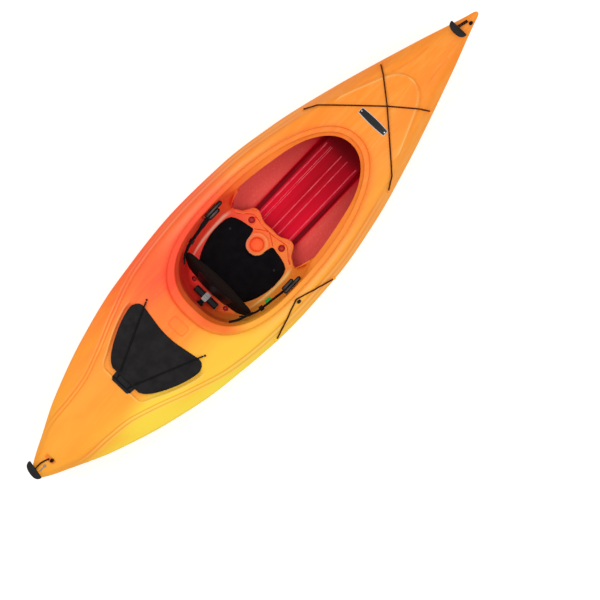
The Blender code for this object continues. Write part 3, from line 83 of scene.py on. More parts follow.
CHINE_RISE_LINE = [(-0.025, 0.5), (0.15, 0.35), (0.3, 0.33), (0.55, 0.225), (0.8, 0.12), (1.0, 0.045),
                   (1.4, 0.03), (1.7, 0.08), (2.05, 0.19), (2.45, 0.30), (2.77, 0.50), (3.048, 0.5)]
CHINE_WIDTH_LINE = [(-0.025, 0.7), (0.3, 0.70), (0.8, 0.78), (1.2, 0.83), (1.8, 0.82), (2.45, 0.74),
                    (3.048, 0.76)]
PONTOON_LINE = [(-0.025, 0.004), (0.25, 0.012), (0.6, 0.06), (1.0, 0.125), (1.5, 0.135), (2.0, 0.120),
                (2.3, 0.08), (2.55, 0.03), (2.75, 0.012), (3.048, 0.002)]
TUNNEL_LINE = [(-0.025, 0.0), (0.35, 0.0), (0.8, 0.020), (1.2, 0.025), (1.9, 0.024), (2.3, 0.010),
               (2.6, 0.0), (3.048, 0.0)]

# Guide lines of the deck
RIDGE_WIDTH_LINE = [(-0.025, 0.007), (0.1, 0.060), (0.218, 0.100), (0.34, 0.108), (0.46, 0.122),
                    (0.614, 0.170), (0.78, 0.236), (1.0, 0.306), (1.2, 0.334), (1.42, 0.345),
                    (1.7, 0.333), (2.04, 0.272), (2.25, 0.218), (2.445, 0.162), (2.75, 0.070),
                    (3.0, 0.014), (3.03, 0.0085), (3.048, 0.0025)]
RIDGE_HEIGHT_LINE = [(-0.025, 0.265), (0.1, 0.268), (0.34, 0.270), (0.614, 0.266), (0.8, 0.258),
                     (1.0, 0.251), (1.42, 0.259), (1.7, 0.268), (2.04, 0.284), (2.25, 0.287),
                     (2.445, 0.279), (2.75, 0.2715), (3.048, 0.2685)]
DECK_LINE = [(-0.025, 0.270), (0.152, 0.274), (0.457, 0.281), (0.61, 0.284), (0.8, 0.281), (0.95, 0.278),
             (1.1, 0.284), (1.5, 0.302), (1.9, 0.318), (2.2, 0.327), (2.32, 0.312), (2.438, 0.305),
             (2.59, 0.2945), (2.743, 0.286), (2.896, 0.278), (3.048, 0.271)]

# Raised foredeck panel that ends in a rounded nose
NOSE_LINE = [(2.15, 0.25), (2.25, 0.2205), (2.445, 0.144), (2.53, 0.104), (2.58, 0.06), (2.603, 0.0)]
NOSE_LIFT = 0.011
NOSE_START = 2.17
NOSE_FULL = 2.32
NOSE_SLOPE = 0.022
NOSE_BEAD_HEIGHT = 0.0012

# Recess that the rear hatch cover lies in. It runs out under the front edge of the cover.
RECESS_DEPTH = 0.012
RECESS_REAR = 0.5765
RECESS_SIDE = [(0.5765, 0.106), (0.584, 0.122), (0.60, 0.1375), (0.64, 0.157), (0.70, 0.188),
               (0.77, 0.2185), (0.82, 0.2355), (0.865, 0.2465), (0.93, 0.2500)]
RECESS_SLOPE = 0.010
RECESS_RUN_OUT = (0.004, 0.022)

# Moulded creases beside the deck's ridge, each (offset outside the ridge, half width, strength)
DECK_CREASES = [(0.012, 0.0026, 1.0), (0.030, 0.0030, 0.9)]
CREASE_DEPTH = 0.0024
RIDGE_ROUNDING = 0.0045

# Grid of the shell: stations along it, and columns across the flank and the deck
STERN_STATIONS = [-0.025, -0.012, 0.012, 0.037, 0.074, 0.112, 0.17, 0.24, 0.32, 0.40, 0.48, 0.545, 0.60,
                  0.66, 0.71, 0.76, 0.81, 0.86, 0.92]
COCKPIT_BAY_REAR = 1.000
COCKPIT_BAY_FRONT = 2.30
BAY_STEPS = 80
BOW_STATIONS = [2.37, 2.44, 2.50, 2.56, 2.62, 2.68, 2.74, 2.80, 2.86, 2.91, 2.95, 2.98, 3.005, 3.03,
                3.048]
KEEL_SAMPLES = 14
SIDE_SAMPLES = 4
FLANK_OUTER = [0.97, 0.9, 0.75, 0.5, 0.25]
FLANK_NEAR = [0.060, 0.050, 0.042, 0.037, 0.033, 0.030, 0.027, 0.023, 0.018, 0.015, 0.012, 0.009, 0.006,
              0.003, 0.0]
DECK_COLUMNS = [0.985, 0.97, 0.96, 0.95, 0.94, 0.93, 0.92, 0.91, 0.9, 0.888, 0.876, 0.864, 0.852, 0.84,
                0.828, 0.815, 0.80, 0.78, 0.75, 0.7, 0.65, 0.6, 0.54, 0.48, 0.42, 0.36, 0.3, 0.25, 0.2,
                0.187, 0.174, 0.161, 0.148, 0.135, 0.12, 0.06]
HATCH_COLUMN = 22
NOSE_STATIONS = [2.584, 2.588, 2.592, 2.596, 2.600, 2.604, 2.608, 2.612, 2.616]
RECESS_STATIONS = [0.564, 0.567, 0.570, 0.573, 0.576, 0.579, 0.582, 0.585, 0.588, 0.592]
HOLLOW_REAR = 0.112
HOLLOW_FRONT = 2.91

# Hatch opening, bounded by the 0.6 columns and these stations
HATCH_REAR = 0.66
HATCH_FRONT = 0.86
HATCH_RIM = 0.009
HATCH_RIM_INSET = 0.003

# Cockpit rim: outlines in plan, about a centre at RIM_CENTRE
RIM_CENTRE = 1.50
FOOT_EGG = {"rear": 0.470, "front": 0.7216, "half": 0.308, "rear_power": 2.6, "front_power": 2.15}
INNER_EGG = {"rear": 0.417, "front": 0.688, "half": 0.279, "rear_power": 2.6, "front_power": 2.15}
RIM_HEIGHT_LINE = [(1.03, 0.303), (1.3, 0.303), (1.52, 0.307), (1.83, 0.320), (1.98, 0.333),
                   (2.15, 0.343), (2.23, 0.344)]
RIM_PROFILE = [(0.10, 0.60, 0.0), (0.24, 0.95, 0.0), (0.58, 1.0, 0.0004), (0.90, 1.0, 0.0030),
               (1.0, 1.0, 0.0080), (1.05, 1.0, 0.020)]
RIM_ROWS = 26
RIM_GROOVE = 0.0016
DECK_ROWS = 6
LIP_DEPTH_SIDE = 0.054
LIP_DEPTH_FRONT = 0.038
LIP_REACH = 1.35
LIP_FORWARD = 0.017
RIM_COLUMNS = 4 * (len(DECK_COLUMNS) + 1) + 2 * BAY_STEPS
TUB_COLUMNS = RIM_COLUMNS // 4
TUB_CORNER = round(0.105 * RIM_COLUMNS)
TUB_ROWS = 22
SLOT_COLUMNS = range(round(0.180 * RIM_COLUMNS), round(0.215 * RIM_COLUMNS))
SLOT_ROWS = 7

# Seat pan
PAN_REAR = 1.144
PAN_HALF = 0.215
PAN_CENTRE = 1.50
PAN_CORNER = (1.553, 0.203)
PAN_FRONT_EDGE = [(1.553, 0.203), (1.570, 0.180), (1.582, 0.160), (1.606, 0.145), (1.628, 0.131),
                  (1.635, 0.110), (1.627, 0.086), (1.615, 0.062), (1.611, 0.040), (1.612, 0.018),
                  (1.613, 0.0)]
PAN_HEIGHT = 0.075
PAN_SIDE_RISE = 0.030
PAN_FRONT_RISE = 0.022
PAN_REAR_RISE = 0.034
PAN_HEM_RADIUS = 0.006
PAN_HEM_DEPTH = 0.008
PAN_HEM_ANGLES = (25, 50, 75, 95, 100)

# Cup holder and the moulded sockets of the pan
CUP_PLACE = (1.514, 0.0)
CUP_RADIUS = 0.036
CUP_RIM_RADIUS = 0.050
CUP_RIM_HEIGHT = 0.008
CUP_PROFILE = [(CUP_RIM_RADIUS + 0.008, 0.0008), (CUP_RIM_RADIUS + 0.004, 0.0028), (CUP_RIM_RADIUS, 0.0050),
               (CUP_RIM_RADIUS - 0.006, 0.0070), (CUP_RADIUS + 0.004, CUP_RIM_HEIGHT),
               (CUP_RADIUS + 0.001, 0.0068), (CUP_RADIUS - 0.001, 0.004), (CUP_RADIUS - 0.002, 0.0),
               (CUP_RADIUS - 0.0025, -0.012), (CUP_RADIUS - 0.0035, -0.020), (CUP_RADIUS - 0.006, -0.0235),
               (CUP_RADIUS - 0.010, -0.0250), (CUP_RADIUS - 0.018, -0.0255), (CUP_RADIUS - 0.027, -0.0255)]
SOCKETS = [(1.583, 0.100, 1.4), (1.184, 0.104, 1.0)]
SOCKET_RADIUS = 0.0165
SOCKET_PROFILE = [(0.0155, 0.0012), (0.0140, 0.0018), (0.0125, 0.0012), (0.0117, -0.0010), (0.0112, -0.0040),
                  (0.0106, -0.0075), (0.0085, -0.0092), (0.004, -0.0095)]

# Seat pad
PAD_THICKNESS = 0.012
PAD_EDGE = 0.007 * 0.6
PAD_GAP = 0.0008
PAD_BELLY = 0.0025
PAD_REAR = [(1.222, 0.092), (1.213, 0.060), (1.208, 0.030), (1.206, 0.0)]
PAD_SIDE = [(1.222, 0.092), (1.262, 0.142), (1.310, 0.170), (1.365, 0.188), (1.420, 0.1965),
            (1.470, 0.1955), (1.505, 0.1895), (1.5225, 0.180)]
PAD_FRONT = [(1.5225, 0.180), (1.534, 0.163), (1.5445, 0.130), (1.550, 0.097), (1.5535, 0.066),
             (1.526, 0.0555), (1.488, 0.049), (1.464, 0.028), (1.457, 0.0)]

# Backrest: it leans forward and turns about an axis at its foot
BACK_AXIS = (1.190, 0.127)
BACK_LEAN = math.radians(16.0)
BACK_HEIGHT = 0.275
BACK_HALF = 0.212
BACK_WRAP = 0.024
BACK_FOOT = 0.010
BACK_ARCH = 0.12
BACK_EDGE = 0.007
BACK_CROWN = 0.024
BACK_FRONT_GAP = 0.002
BACK_BELLY = 0.004
SEAM_DEPTH = 0.0018
SEAM_WIDTH = 0.012
SEAM_ACROSS = 0.90
SEAM_UP = 0.93

# Straps
STRAP_WIDTH = 0.024
STRAP_THICKNESS = 0.0024
RIB_STEP = 0.0014
RIB_SHARE = 0.62
SIDE_STRAP = [(1.262, 0.219, 0.253), (1.292, 0.229, 0.255), (1.395, 0.245, 0.258), (1.441, 0.2515, 0.260)]
OUTER_LOOP = {"s": (1.436, 1.545), "y": 0.2605, "half": 0.0092}
INNER_LOOP = {"s": (1.440, 1.512), "y": 0.2440, "half": 0.0100}
STRAP_LOOP_Z = 0.262
STRAP_LOOP_HEIGHT = 0.018
STRAP_LOOP_FOLDS = 3
TAIL = [(1.236, -0.206, 0.272), (1.208, -0.197, 0.278), (1.178, -0.182, 0.285), (1.152, -0.165, 0.290)]

# Hatch cover
COVER_LIFT = 0.009
COVER_WALL = 0.0035
COVER_SIDE = [(0.612, 0.085), (0.622, 0.104), (0.640, 0.124), (0.6616, 0.1414), (0.71, 0.170),
              (0.7694, 0.1978), (0.82, 0.2155), (0.860, 0.2248), (0.884, 0.2258), (0.9045, 0.2180)]
COVER_FRONT = [(0.9045, 0.2180), (0.9175, 0.2060), (0.9238, 0.188), (0.9225, 0.168), (0.917, 0.140),
               (0.9085, 0.092), (0.901, 0.045), (0.899, 0.0)]
COVER_REAR = [(0.612, 0.085), (0.612, 0.068), (0.612, 0.051), (0.612, 0.034), (0.612, 0.017),
              (0.612, 0.0)]
HINGE_STRAP = {"rear": 0.567, "front": 0.6105, "half": 0.061, "thickness": 0.004}

# Rounded edge of the cover, its raised border as (distance in, width of its slope, height), and how far the
# cover stands above the model's
COVER_EDGE_DROP = 0.0035
COVER_EDGE_WIDTH = 0.008
COVER_BORDER = (0.020, 0.006, 0.0020)
COVER_RAISE = 0.0012
COVER_MIDDLE = 0.78

# Air under what lies on the deck, the hooks' outline and the hatch cords
SEAT_GAP = 0.0012
HOOK_PROFILE = [(0, 0), (0.0050, 0), (0.0055, 0.0005), (0.0053, 0.0015), (0.0044, 0.0035), (0.0038, 0.005),
                (0.0035, 0.0075), (0.0026, 0.0088), (0, 0.009)]
HATCH_CORD_RADIUS = 0.0036
CORD_STUB = [(0.588, 0.035), (0.607, 0.0405)]
HATCH_CORD = [(0.622, 0.046), (0.949, 0.189)]
HATCH_HOOK = (0.957, 0.193)

# Deck cords
CORD_RADIUS = 0.003
BOW_CORD = [(2.136, 0.283), (2.195, 0.2465), (2.418, 0.0), (2.519, -0.1225), (2.547, -0.163)]
BOW_CORD_RADIUS = 0.0034
KEEPER_CORD = [(1.246, -0.386), (1.454, -0.3225), (1.653, -0.3815)]
KEEPER_BALL_PLACE = (1.4555, -0.338)
KEEPER_BALL_SIZE = (0.0115, 0.0080, 0.0080)
BALL_PROFILE = [(0, -1.0), (0.20, -0.985), (0.42, -0.90), (0.62, -0.76), (0.80, -0.56), (0.93, -0.30),
                (1.0, 0.0), (0.93, 0.30), (0.80, 0.56), (0.62, 0.76), (0.42, 0.90), (0.24, 0.975), (0, 0.98)]
EYELET_RADIUS = 0.009
EYELET_HEIGHT = 0.008
EYELET_PROFILE = [(0, 0), (1, 0), (1, 0.3), (0.93, 0.6), (0.72, 0.85), (0.4, 0.97), (0, 1)]
CORD_STEP = 0.022

# Carrying handles
GRIP = (0.036, 0.100, 0.020)
BOW_GRIP_S = 2.9125
BOW_HANDLE_HOLE = 2.982
BOW_GRIP_Y = 0.012
STERN_GRIP_S = -0.011
STERN_GRIP_Y = 0.019
STERN_GRIP_TURN = math.radians(-11.0)
STERN_HANDLE_HOLE = 0.086
KNOT_Y = -0.0105
KNOT_RADIUS = 0.0078
BOW_STRANDS = [(0.0100, 0.0036), (0.0024, 0.0030)]
STERN_CORD_SHIFT = (0.0040, 0.0065)
STERN_CORD_RADIUS = 0.0036
STERN_SCREW_PLACE = (0.046, -0.004)

# Small mouldings of the deck: a framed panel behind the cockpit and a dish round the stern cord's knot
FRAME_PLACE = (0.971, -0.005)
FRAME_HALF = (0.027, 0.047)
DISH_PLACE = (0.087, 0.0)
DISH_HALF = (0.012, 0.030)

# Ridges along the floor of the footwell, each (y, width)
FLOOR_RIDGES = [(0.0986, 0.0075), (0.0720, 0.0045), (0.0632, 0.0045), (0.001, 0.0065), (-0.0385, 0.0065),
                (-0.097, 0.0075)]
FLOOR_RIDGE_S = (1.622, 2.112)
FLOOR_RIDGE_HEIGHT = 0.0032
GUSSET_COLUMNS = round(0.0165 * RIM_COLUMNS)

# Webbing that the solids leave out: the side straps' ends beside the backrest, the start of the
# starboard tail, and a small ribbon on the starboard strap
STRAP_WRAP = [(1.205, 0.181, 0.258), (1.226, 0.2005, 0.2555), (1.244, 0.2125, 0.2535)]
TAIL_START = [(1.262, -0.2175, 0.262), (1.250, -0.2125, 0.266)]
CARE_TAG = [(1.342, -0.2235, 0.266), (1.352, -0.2255, 0.2675), (1.364, -0.2270, 0.2675),
            (1.375, -0.2285, 0.266)]
CARE_TAG_FACE = (0, 0.92, 0.40)

# Blank plate on the starboard quarter, below the deck's edge, and one across the foredeck
QUARTER_PLATE = {"s": (0.117, 0.202), "z": (0.208, 0.199), "half": 0.0073}
FOREDECK_PLATE = {"s": 2.3185, "half_length": 0.0205, "half_width": 0.0835, "y": -0.002}

# Short moulded lines on the foredeck, each a list of (s, y)
FOREDECK_LINES = [[(2.555, 0.101), (2.62, 0.080), (2.70, 0.0625), (2.76, 0.057)],
                  [(2.62, -0.066), (2.72, -0.054), (2.80, -0.046)]]

# Rivet heads of the plates, and the dull strip under the stern's screw
RIVET_HEAD = [(0, 0), (0.0035, 0), (0.0030, 0.0012), (0, 0.0018)]
FOREDECK_RIVETS = (0.072, -0.076)
QUARTER_RIVET_INSET = 0.006
STERN_STRIP = {"aft": 0.036, "length": 0.044, "half": 0.0032}

# Bead along the front edge of the seat pan, and the low steps behind it
PAN_BEAD_RADIUS = 0.0032
PAN_BEAD_INSET = 0.008
PAN_STEP = [(1.553, 0.183), (1.5676, 0.160), (1.5918, 0.134), (1.606, 0.114), (1.609, 0.098),
            (1.6045, 0.070), (1.599, 0.035), (1.5975, 0.0)]
PAN_VALLEY = [(1.560, 0.062), (1.574, 0.043), (1.590, 0.018), (1.5965, 0.004)]
PAN_STEP_RADIUS = 0.0024

# Directions that the width of each side's webbing points in, at shares of its length
STRAP_FACES = {1: [(0.0, (0, -0.35, 0.94)), (0.36, (0, -0.68, 0.73)), (0.75, (0, -0.72, 0.69)),
                   (0.85, (0, -0.99, 0.12)), (1.0, (0, -0.99, 0.10))],
               -1: [(0.0, (0, 0.35, 0.94)), (1.0, (0, 0.50, 0.86))]}
TAIL_FACE = (0, 0.55, 0.83)
CARE_TAG_SIZE = (0.015, 0.0012)

# Rear buckle: half length and half width of its outline and its hole, height, and the bars across it
BUCKLE_OUTER = (0.0230, 0.0145)
BUCKLE_INNER = (0.0165, 0.0095)
BUCKLE_HEIGHT = 0.0032
BUCKLE_BAR = (0.010, 0.020, 0.0028)
BUCKLE_BARS = (-0.0115, 0.0, 0.0115)

# Grooves round the cross bar
BAR_STATIONS = 70
BAR_GROOVE_PITCH = 0.0105
BAR_GROOVED_HALF = 0.062

# Stuffs: name, dark and light colour, roughness, grain scale, grain depth, specular, metallic
PLAIN_STUFFS = {
    # The floor ridges' pale pink is a painted highlight on their crests
    "ridge": ("floor_ridge_plastic", (255, 60, 84), (255, 110, 122), 0.40, 120.0, 0.0002, 0.2, 0.0),
    # The bead's lighter orange is a painted highlight
    "bead": ("pan_edge_plastic", (255, 112, 56), (255, 144, 84), 0.45, 300.0, 0.0002, 0.12, 0.0),
    # The steps' darker red is painted shade
    "groove": ("pan_step_plastic", (222, 38, 12), (236, 66, 22), 0.6, 300.0, 0.0002, 0.05, 0.0),
    "strip": ("dull_strip", (132, 118, 110), (166, 150, 140), 0.5, 600.0, 0.00008, 0.2, 0.0),
    # Paler than the webbing: a painted highlight on the loops' folds
    "thread": ("pale_thread", (70, 64, 62), (112, 104, 100), 0.8, 900.0, 0.00008, 0.1, 0.0),
    "silver": ("pale_border", (196, 192, 186), (220, 216, 210), 0.5, 600.0, 0.00008, 0.2, 0.0),
    "pad": ("pad_foam_black", (7, 5, 8), (15, 12, 16), 0.85, 900.0, 0.0003, 0.08, 0.0),
    "rubber": ("moulded_rubber", (16, 15, 17), (28, 27, 29), 0.60, 700.0, 0.0002, 0.18, 0.0),
    "lid": ("lid_rubber", (29, 27, 28), (38, 36, 36), 0.68, 420.0, 0.0006, 0.06, 0.0),
    "plastic": ("black_moulding", (7, 7, 9), (18, 18, 21), 0.45, 600.0, 0.00008, 0.14, 0.0),
    "plate": ("blank_plate", (14, 14, 16), (26, 26, 28), 0.38, 600.0, 0.00008, 0.25, 0.0),
    "grey": ("grey_moulding", (134, 136, 138), (166, 166, 164), 0.45, 600.0, 0.00008, 0.2, 0.0),
    "steel": ("bright_steel", (190, 190, 192), (214, 214, 216), 0.30, 600.0, 0.00008, 0.5, 1.0),
    "aluminium": ("rail_metal", (176, 178, 180), (198, 200, 202), 0.42, 600.0, 0.00008, 0.5, 1.0),
    "foam": ("white_foam", (222, 222, 218), (238, 238, 234), 0.9, 300.0, 0.0006, 0.2, 0.0),
}

# Woven stuffs: name, dark and light colour, weave scale, weave depth, roughness, sheen
WOVEN_STUFFS = {
    "deck_cord": ("brown_black_cord", (52, 8, 2), (92, 26, 10), 2400.0, 0.0003, 0.8, 0.0),
    "fabric": ("backrest_cloth", (6, 3, 2), (24, 14, 10), 2600.0, 0.0002, 0.9, 0.0),
    "webbing": ("black_webbing", (6, 5, 6), (26, 24, 26), 1800.0, 0.0002, 0.85, 0.0),
    "cord": ("braided_cord", (8, 7, 8), (26, 24, 26), 2400.0, 0.0003, 0.8, 0.0),
    "green": ("green_ribbon", (10, 120, 40), (40, 176, 76), 2600.0, 0.0001, 0.85, 0.02),
}

# Pieces of the model that keep their own shape, under the stuff that each is made of
KEPT_PIECES = {
    "plastic": ("seat_pad_rivet_left", "seat_pad_rivet_right", "backrest_plate", "rear_strap_anchor",
                "left_strap_adjuster", "right_strap_adjuster", "left_foot_pedal", "right_foot_pedal"),
    "aluminium": ("left_foot_rail", "right_foot_rail"),
    "steel": ("left_rail_rivet_rear", "left_rail_rivet_front", "right_rail_rivet_rear",
              "right_rail_rivet_front"),
    "strip": ("stern_screw",),
    "foam": ("stern_foam_pillar", "bow_foam_pillar"),
}

# Floor, camera straight above, and the directions of the picture's right and top
FLOOR_HALF = 12.0
FLOOR_DROP = 0.002
CAMERA_PLACE = (-0.0441, -0.3377, 12.25)
CAMERA_LENS = 150.2
PICTURE_RIGHT = (0.6912, -0.7227, 0.0)
PICTURE_TOP = (0.7227, 0.6912, 0.0)

# Light of the studio: strength of the world, and each lamp's name, place, size and power
WORLD_LIGHT = 0.62
SOFTBOXES = [("softbox_port", (-0.9, 1.8, 4.0), (2.6, 2.6), 49.0),
             ("softbox_starboard", (0.9, -1.8, 4.0), (2.6, 2.6), 49.0)]


def curve_through(points):
    """A smooth function through the points that never overshoots them."""
    xs = [p[0] for p in points]
    ys = [p[1] for p in points]
    steps = [xs[i + 1] - xs[i] for i in range(len(xs) - 1)]
    rises = [(ys[i + 1] - ys[i]) / steps[i] for i in range(len(steps))]
    slopes = [rises[0]]
    for i in range(1, len(rises)):
        same_way = rises[i - 1] * rises[i] > 0
        slopes.append(2 * rises[i - 1] * rises[i] / (rises[i - 1] + rises[i]) if same_way else 0.0)
    slopes.append(rises[-1])

    @functools.lru_cache(maxsize=None)
    def value(x):
        x = min(max(x, xs[0]), xs[-1])
        i = max(k for k in range(len(steps)) if xs[k] <= x)
        t = (x - xs[i]) / steps[i]
        near = ys[i] * (1 + 2 * t) * (1 - t) ** 2 + slopes[i] * steps[i] * t * (1 - t) ** 2
        far = ys[i + 1] * t * t * (3 - 2 * t) - slopes[i + 1] * steps[i] * t * t * (1 - t)
        return near + far

    return value


half_beam = curve_through(HALF_BEAM_LINE)
sheer_height = curve_through(SHEER_LINE)
keel_height = curve_through(KEEL_LINE)
chine_rise = curve_through(CHINE_RISE_LINE)
chine_width = curve_through(CHINE_WIDTH_LINE)
pontoon_half = curve_through(PONTOON_LINE)
tunnel_lift = curve_through(TUNNEL_LINE)
ridge_width = curve_through(RIDGE_WIDTH_LINE)
ridge_height = curve_through(RIDGE_HEIGHT_LINE)
deck_line = curve_through(DECK_LINE)
nose_width = curve_through(NOSE_LINE)
rim_height = curve_through(RIM_HEIGHT_LINE)
recess_side = curve_through(RECESS_SIDE)
cover_front = curve_through([(y, s) for s, y in reversed(COVER_FRONT)])
foredeck_lines = [(line[0][0], line[-1][0], curve_through(line)) for line in FOREDECK_LINES]


def place(s, y, z):
    """World point for a distance along the hull, an offset and a height."""
    return Vector((s - MIDSHIP, y, z))


def smooth_step(t):
    """Rises smoothly from 0 at t = 0 to 1 at t = 1."""
    t = min(max(t, 0.0), 1.0)
    return t * t * (3 - 2 * t)


def bell(distance, width):
    """A hump that is 1 at no distance and falls to 0 over about twice its width."""
    return math.exp(-(distance / width) ** 2)


def nose_lift(s, y):
    """Height that the raised foredeck panel adds."""
    if s <= NOSE_START or s >= NOSE_LINE[-1][0] + NOSE_SLOPE:
        return 0.0
    inside = nose_width(s) - abs(y)
    ahead = NOSE_LINE[-1][0] - s
    edge = smooth_step(0.5 + min(inside, ahead) / NOSE_SLOPE)
    return NOSE_LIFT * edge * smooth_step((s - NOSE_START) / (NOSE_FULL - NOSE_START))


def recess_inside(s, y):
    """Distance of a deck point inside the outline of the hatch recess."""
    return min(s - RECESS_REAR, recess_side(s) - abs(y))


def recess_ahead(s, y):
    """Share of the recess that is left before it runs out under the cover's front edge."""
    start, length = RECESS_RUN_OUT
    return smooth_step((cover_front(abs(y)) - start - s) / length)


def recess_drop(s, y):
    """Depth of the hatch recess at a point of the deck."""
    if not RECESS_REAR < s < RECESS_SIDE[-1][0]:
        return 0.0
    return RECESS_DEPTH * smooth_step(recess_inside(s, y) / RECESS_SLOPE) * recess_ahead(s, y)


def deck_height(s, y):
    """Height of the outside of the deck, without the cockpit rim."""
    across = abs(y)
    ridge = ridge_width(s)
    top = ridge_height(s)
    if across <= ridge:
        crown = deck_line(s) - (deck_line(s) - top) * (across / ridge) ** 2
        return crown + nose_lift(s, y) - recess_drop(s, y)
    t = min((across - ridge) / (half_beam(s) - ridge), 1.0)
    return top - (top - sheer_height(s)) * t ** 1.2


def hull_section(s):
    """Half section of the hull from the keel to the sheer, as (y, z)."""
    keel = keel_height(s)
    beam = half_beam(s)
    sheer = sheer_height(s)
    chine = keel + chine_rise(s) * (sheer - keel)
    chine_y = chine_width(s) * beam
    pontoon = min(pontoon_half(s), 0.5 * chine_y)
    step = min(0.02, 0.2 * (chine_y - pontoon))
    lift = tunnel_lift(s)
    side = sheer - chine
    flare = beam - chine_y
    return [
        (0.0, keel),
        (pontoon, keel),
        (pontoon + step, keel + lift * 0.9 + 0.40 * (chine - keel)),
        (chine_y - 1.6 * step, keel + lift + 0.84 * (chine - keel)),
        (chine_y, chine),
        (chine_y + 0.68 * flare, chine + 0.20 * side),
        (chine_y + 0.93 * flare, chine + 0.54 * side),
        (beam, sheer),
    ]


def egg_loop(shape, count):
    """Points of the cockpit outline, evenly spaced, from the rear centre round by port."""
    fine = []
    for k in range(721):
        angle = math.pi * k / 720
        rear = angle < math.pi / 2
        reach = shape["rear"] if rear else shape["front"]
        power = 2 / (shape["rear_power"] if rear else shape["front_power"])
        along = -math.copysign(abs(math.cos(angle)) ** power, math.cos(angle))
        fine.append((RIM_CENTRE + reach * along, shape["half"] * math.sin(angle) ** power))
    half = even_points(fine, count // 2)
    return half + [(s, -y) for s, y in reversed(half[1:-1])]


def even_points(line, intervals):
    """Points at even distances along a plane line."""
    travelled = [0.0]
    for a, b in zip(line, line[1:]):
        travelled.append(travelled[-1] + math.dist(a, b))
    points = []
    i = 0
    for k in range(intervals + 1):
        target = travelled[-1] * k / intervals
        while i < len(line) - 2 and travelled[i + 1] < target:
            i += 1
        t = (target - travelled[i]) / (travelled[i + 1] - travelled[i])
        points.append(tuple(a + (b - a) * t for a, b in zip(line[i], line[i + 1])))
    return points


def smooth_line(points, intervals):
    """Points at even distances along a smooth curve through the given plane points."""
    fine = []
    for i in range(len(points) - 1):
        a, b = points[i], points[i + 1]
        before = points[i - 1] if i > 0 else mix(a, b, -1)
        after = points[i + 2] if i + 2 < len(points) else mix(a, b, 2)
        for k in range(12):
            t = k / 12
            weights = (-t + 2 * t ** 2 - t ** 3, 2 - 5 * t ** 2 + 3 * t ** 3, t + 4 * t ** 2 - 3 * t ** 3,
                       t ** 3 - t ** 2)
            near = zip(before, a, b, after)
            fine.append(tuple(sum(w * q for w, q in zip(weights, four)) / 2 for four in near))
    fine.append(points[-1])
    return even_points(fine, intervals)


def mix(a, b, t):
    """Point at a share t of the way from a to b."""
    return tuple(p + (q - p) * t for p, q in zip(a, b))


def pan_height(s, y):
    """Height of the top of the seat pan."""
    side = PAN_SIDE_RISE * (abs(y) / PAN_HALF) ** 3
    front = PAN_FRONT_RISE * smooth_step((s - 1.38) / 0.20)
    rear = PAN_REAR_RISE * smooth_step((1.27 - s) / 0.12)
    return PAN_HEIGHT + side + front + rear


def pan_outline():
    """Half outline of the seat pan along the tub's wall, from the rear centre to the front corner."""
    fine = []
    for k in range(361):
        angle = math.pi / 2 * k / 360
        along = math.cos(angle) ** (2 / 2.8)
        fine.append((PAN_CENTRE - (PAN_CENTRE - PAN_REAR) * along, PAN_HALF * math.sin(angle) ** (2 / 2.8)))
    fine.append(PAN_CORNER)
    return even_points(fine, TUB_COLUMNS)


def filled_grid(rear, front, port, starboard):
    """Plan points inside four bounding rows, blended between them."""
    rows = len(port) - 1
    columns = len(rear) - 1
    grid = []
    for i in range(rows + 1):
        v = i / rows
        row = []
        for j in range(columns + 1):
            u = j / columns
            along = mix(rear[j], front[j], v)
            across = mix(port[i], starboard[i], u)
            corner = mix(mix(rear[0], rear[-1], u), mix(front[0], front[-1], u), v)
            row.append(tuple(a + b - c for a, b, c in zip(along, across, corner)))
        grid.append(row)
    return grid


def mirrored(points):
    """The plan points on the other side of the hull's middle."""
    return [(s, -y) for s, y in points]


def whole_row(half):
    """A row from port to starboard, from its port half."""
    return half + mirrored(half[:-1])[::-1]


def cap_holes(bm):
    """Close every open loop with a flat face."""
    loose = [e for e in bm.edges if e.is_boundary]
    if loose:
        bmesh.ops.holes_fill(bm, edges=loose, sides=0)


def frame_at(point, normal, hint=Vector((1, 0, 0))):
    """Matrix whose Z is the normal and whose X is as near the hint as it can be."""
    z = normal.normalized()
    y = z.cross(hint).normalized()
    x = y.cross(z)
    matrix = Matrix((x, y, z)).transposed().to_4x4()
    matrix.translation = point
    return matrix


def turned(profile, sides, matrix):
    """A solid of revolution about Z from (radius, height) points, bottom to top, both ends on the axis."""
    bm = bmesh.new()
    bottom = bm.verts.new((0, 0, profile[0][1]))
    top = bm.verts.new((0, 0, profile[-1][1]))
    rings = []
    for radius, height in profile[1:-1]:
        angles = [2 * math.pi * k / sides for k in range(sides)]
        rings.append([bm.verts.new((radius * math.cos(a), radius * math.sin(a), height)) for a in angles])
    for k in range(sides):
        n = (k + 1) % sides
        bm.faces.new([bottom, rings[0][n], rings[0][k]])
        bm.faces.new([top, rings[-1][k], rings[-1][n]])
        for low, high in zip(rings, rings[1:]):
            bm.faces.new([low[k], low[n], high[n], high[k]])
    bm.transform(matrix)
    return bm


def bridge(bm, rings):
    """Faces between each ring of vertices and the next."""
    for first, second in zip(rings, rings[1:]):
        for k in range(len(first)):
            n = (k + 1) % len(first)
            bm.faces.new([first[k], first[n], second[n], second[k]])


def close_rings(bm, rings):
    """The mesh as a closed solid through the rings, with flat ends."""
    bridge(bm, rings)
    bm.faces.new(rings[0][::-1])
    bm.faces.new(rings[-1])
    bmesh.ops.recalc_face_normals(bm, faces=bm.faces)
    return bm


def swept(path, outline, side):
    """Sweep a closed outline of (across, up) points along a path. side(i) gives the across direction."""
    bm = bmesh.new()
    rings = []
    for i, point in enumerate(path):
        ahead = (path[min(i + 1, len(path) - 1)] - path[max(i - 1, 0)]).normalized()
        across = side(i)
        across = (across - ahead * across.dot(ahead)).normalized()
        up = ahead.cross(across)
        rings.append([bm.verts.new(point + across * a + up * b) for a, b in outline])
    return close_rings(bm, rings)


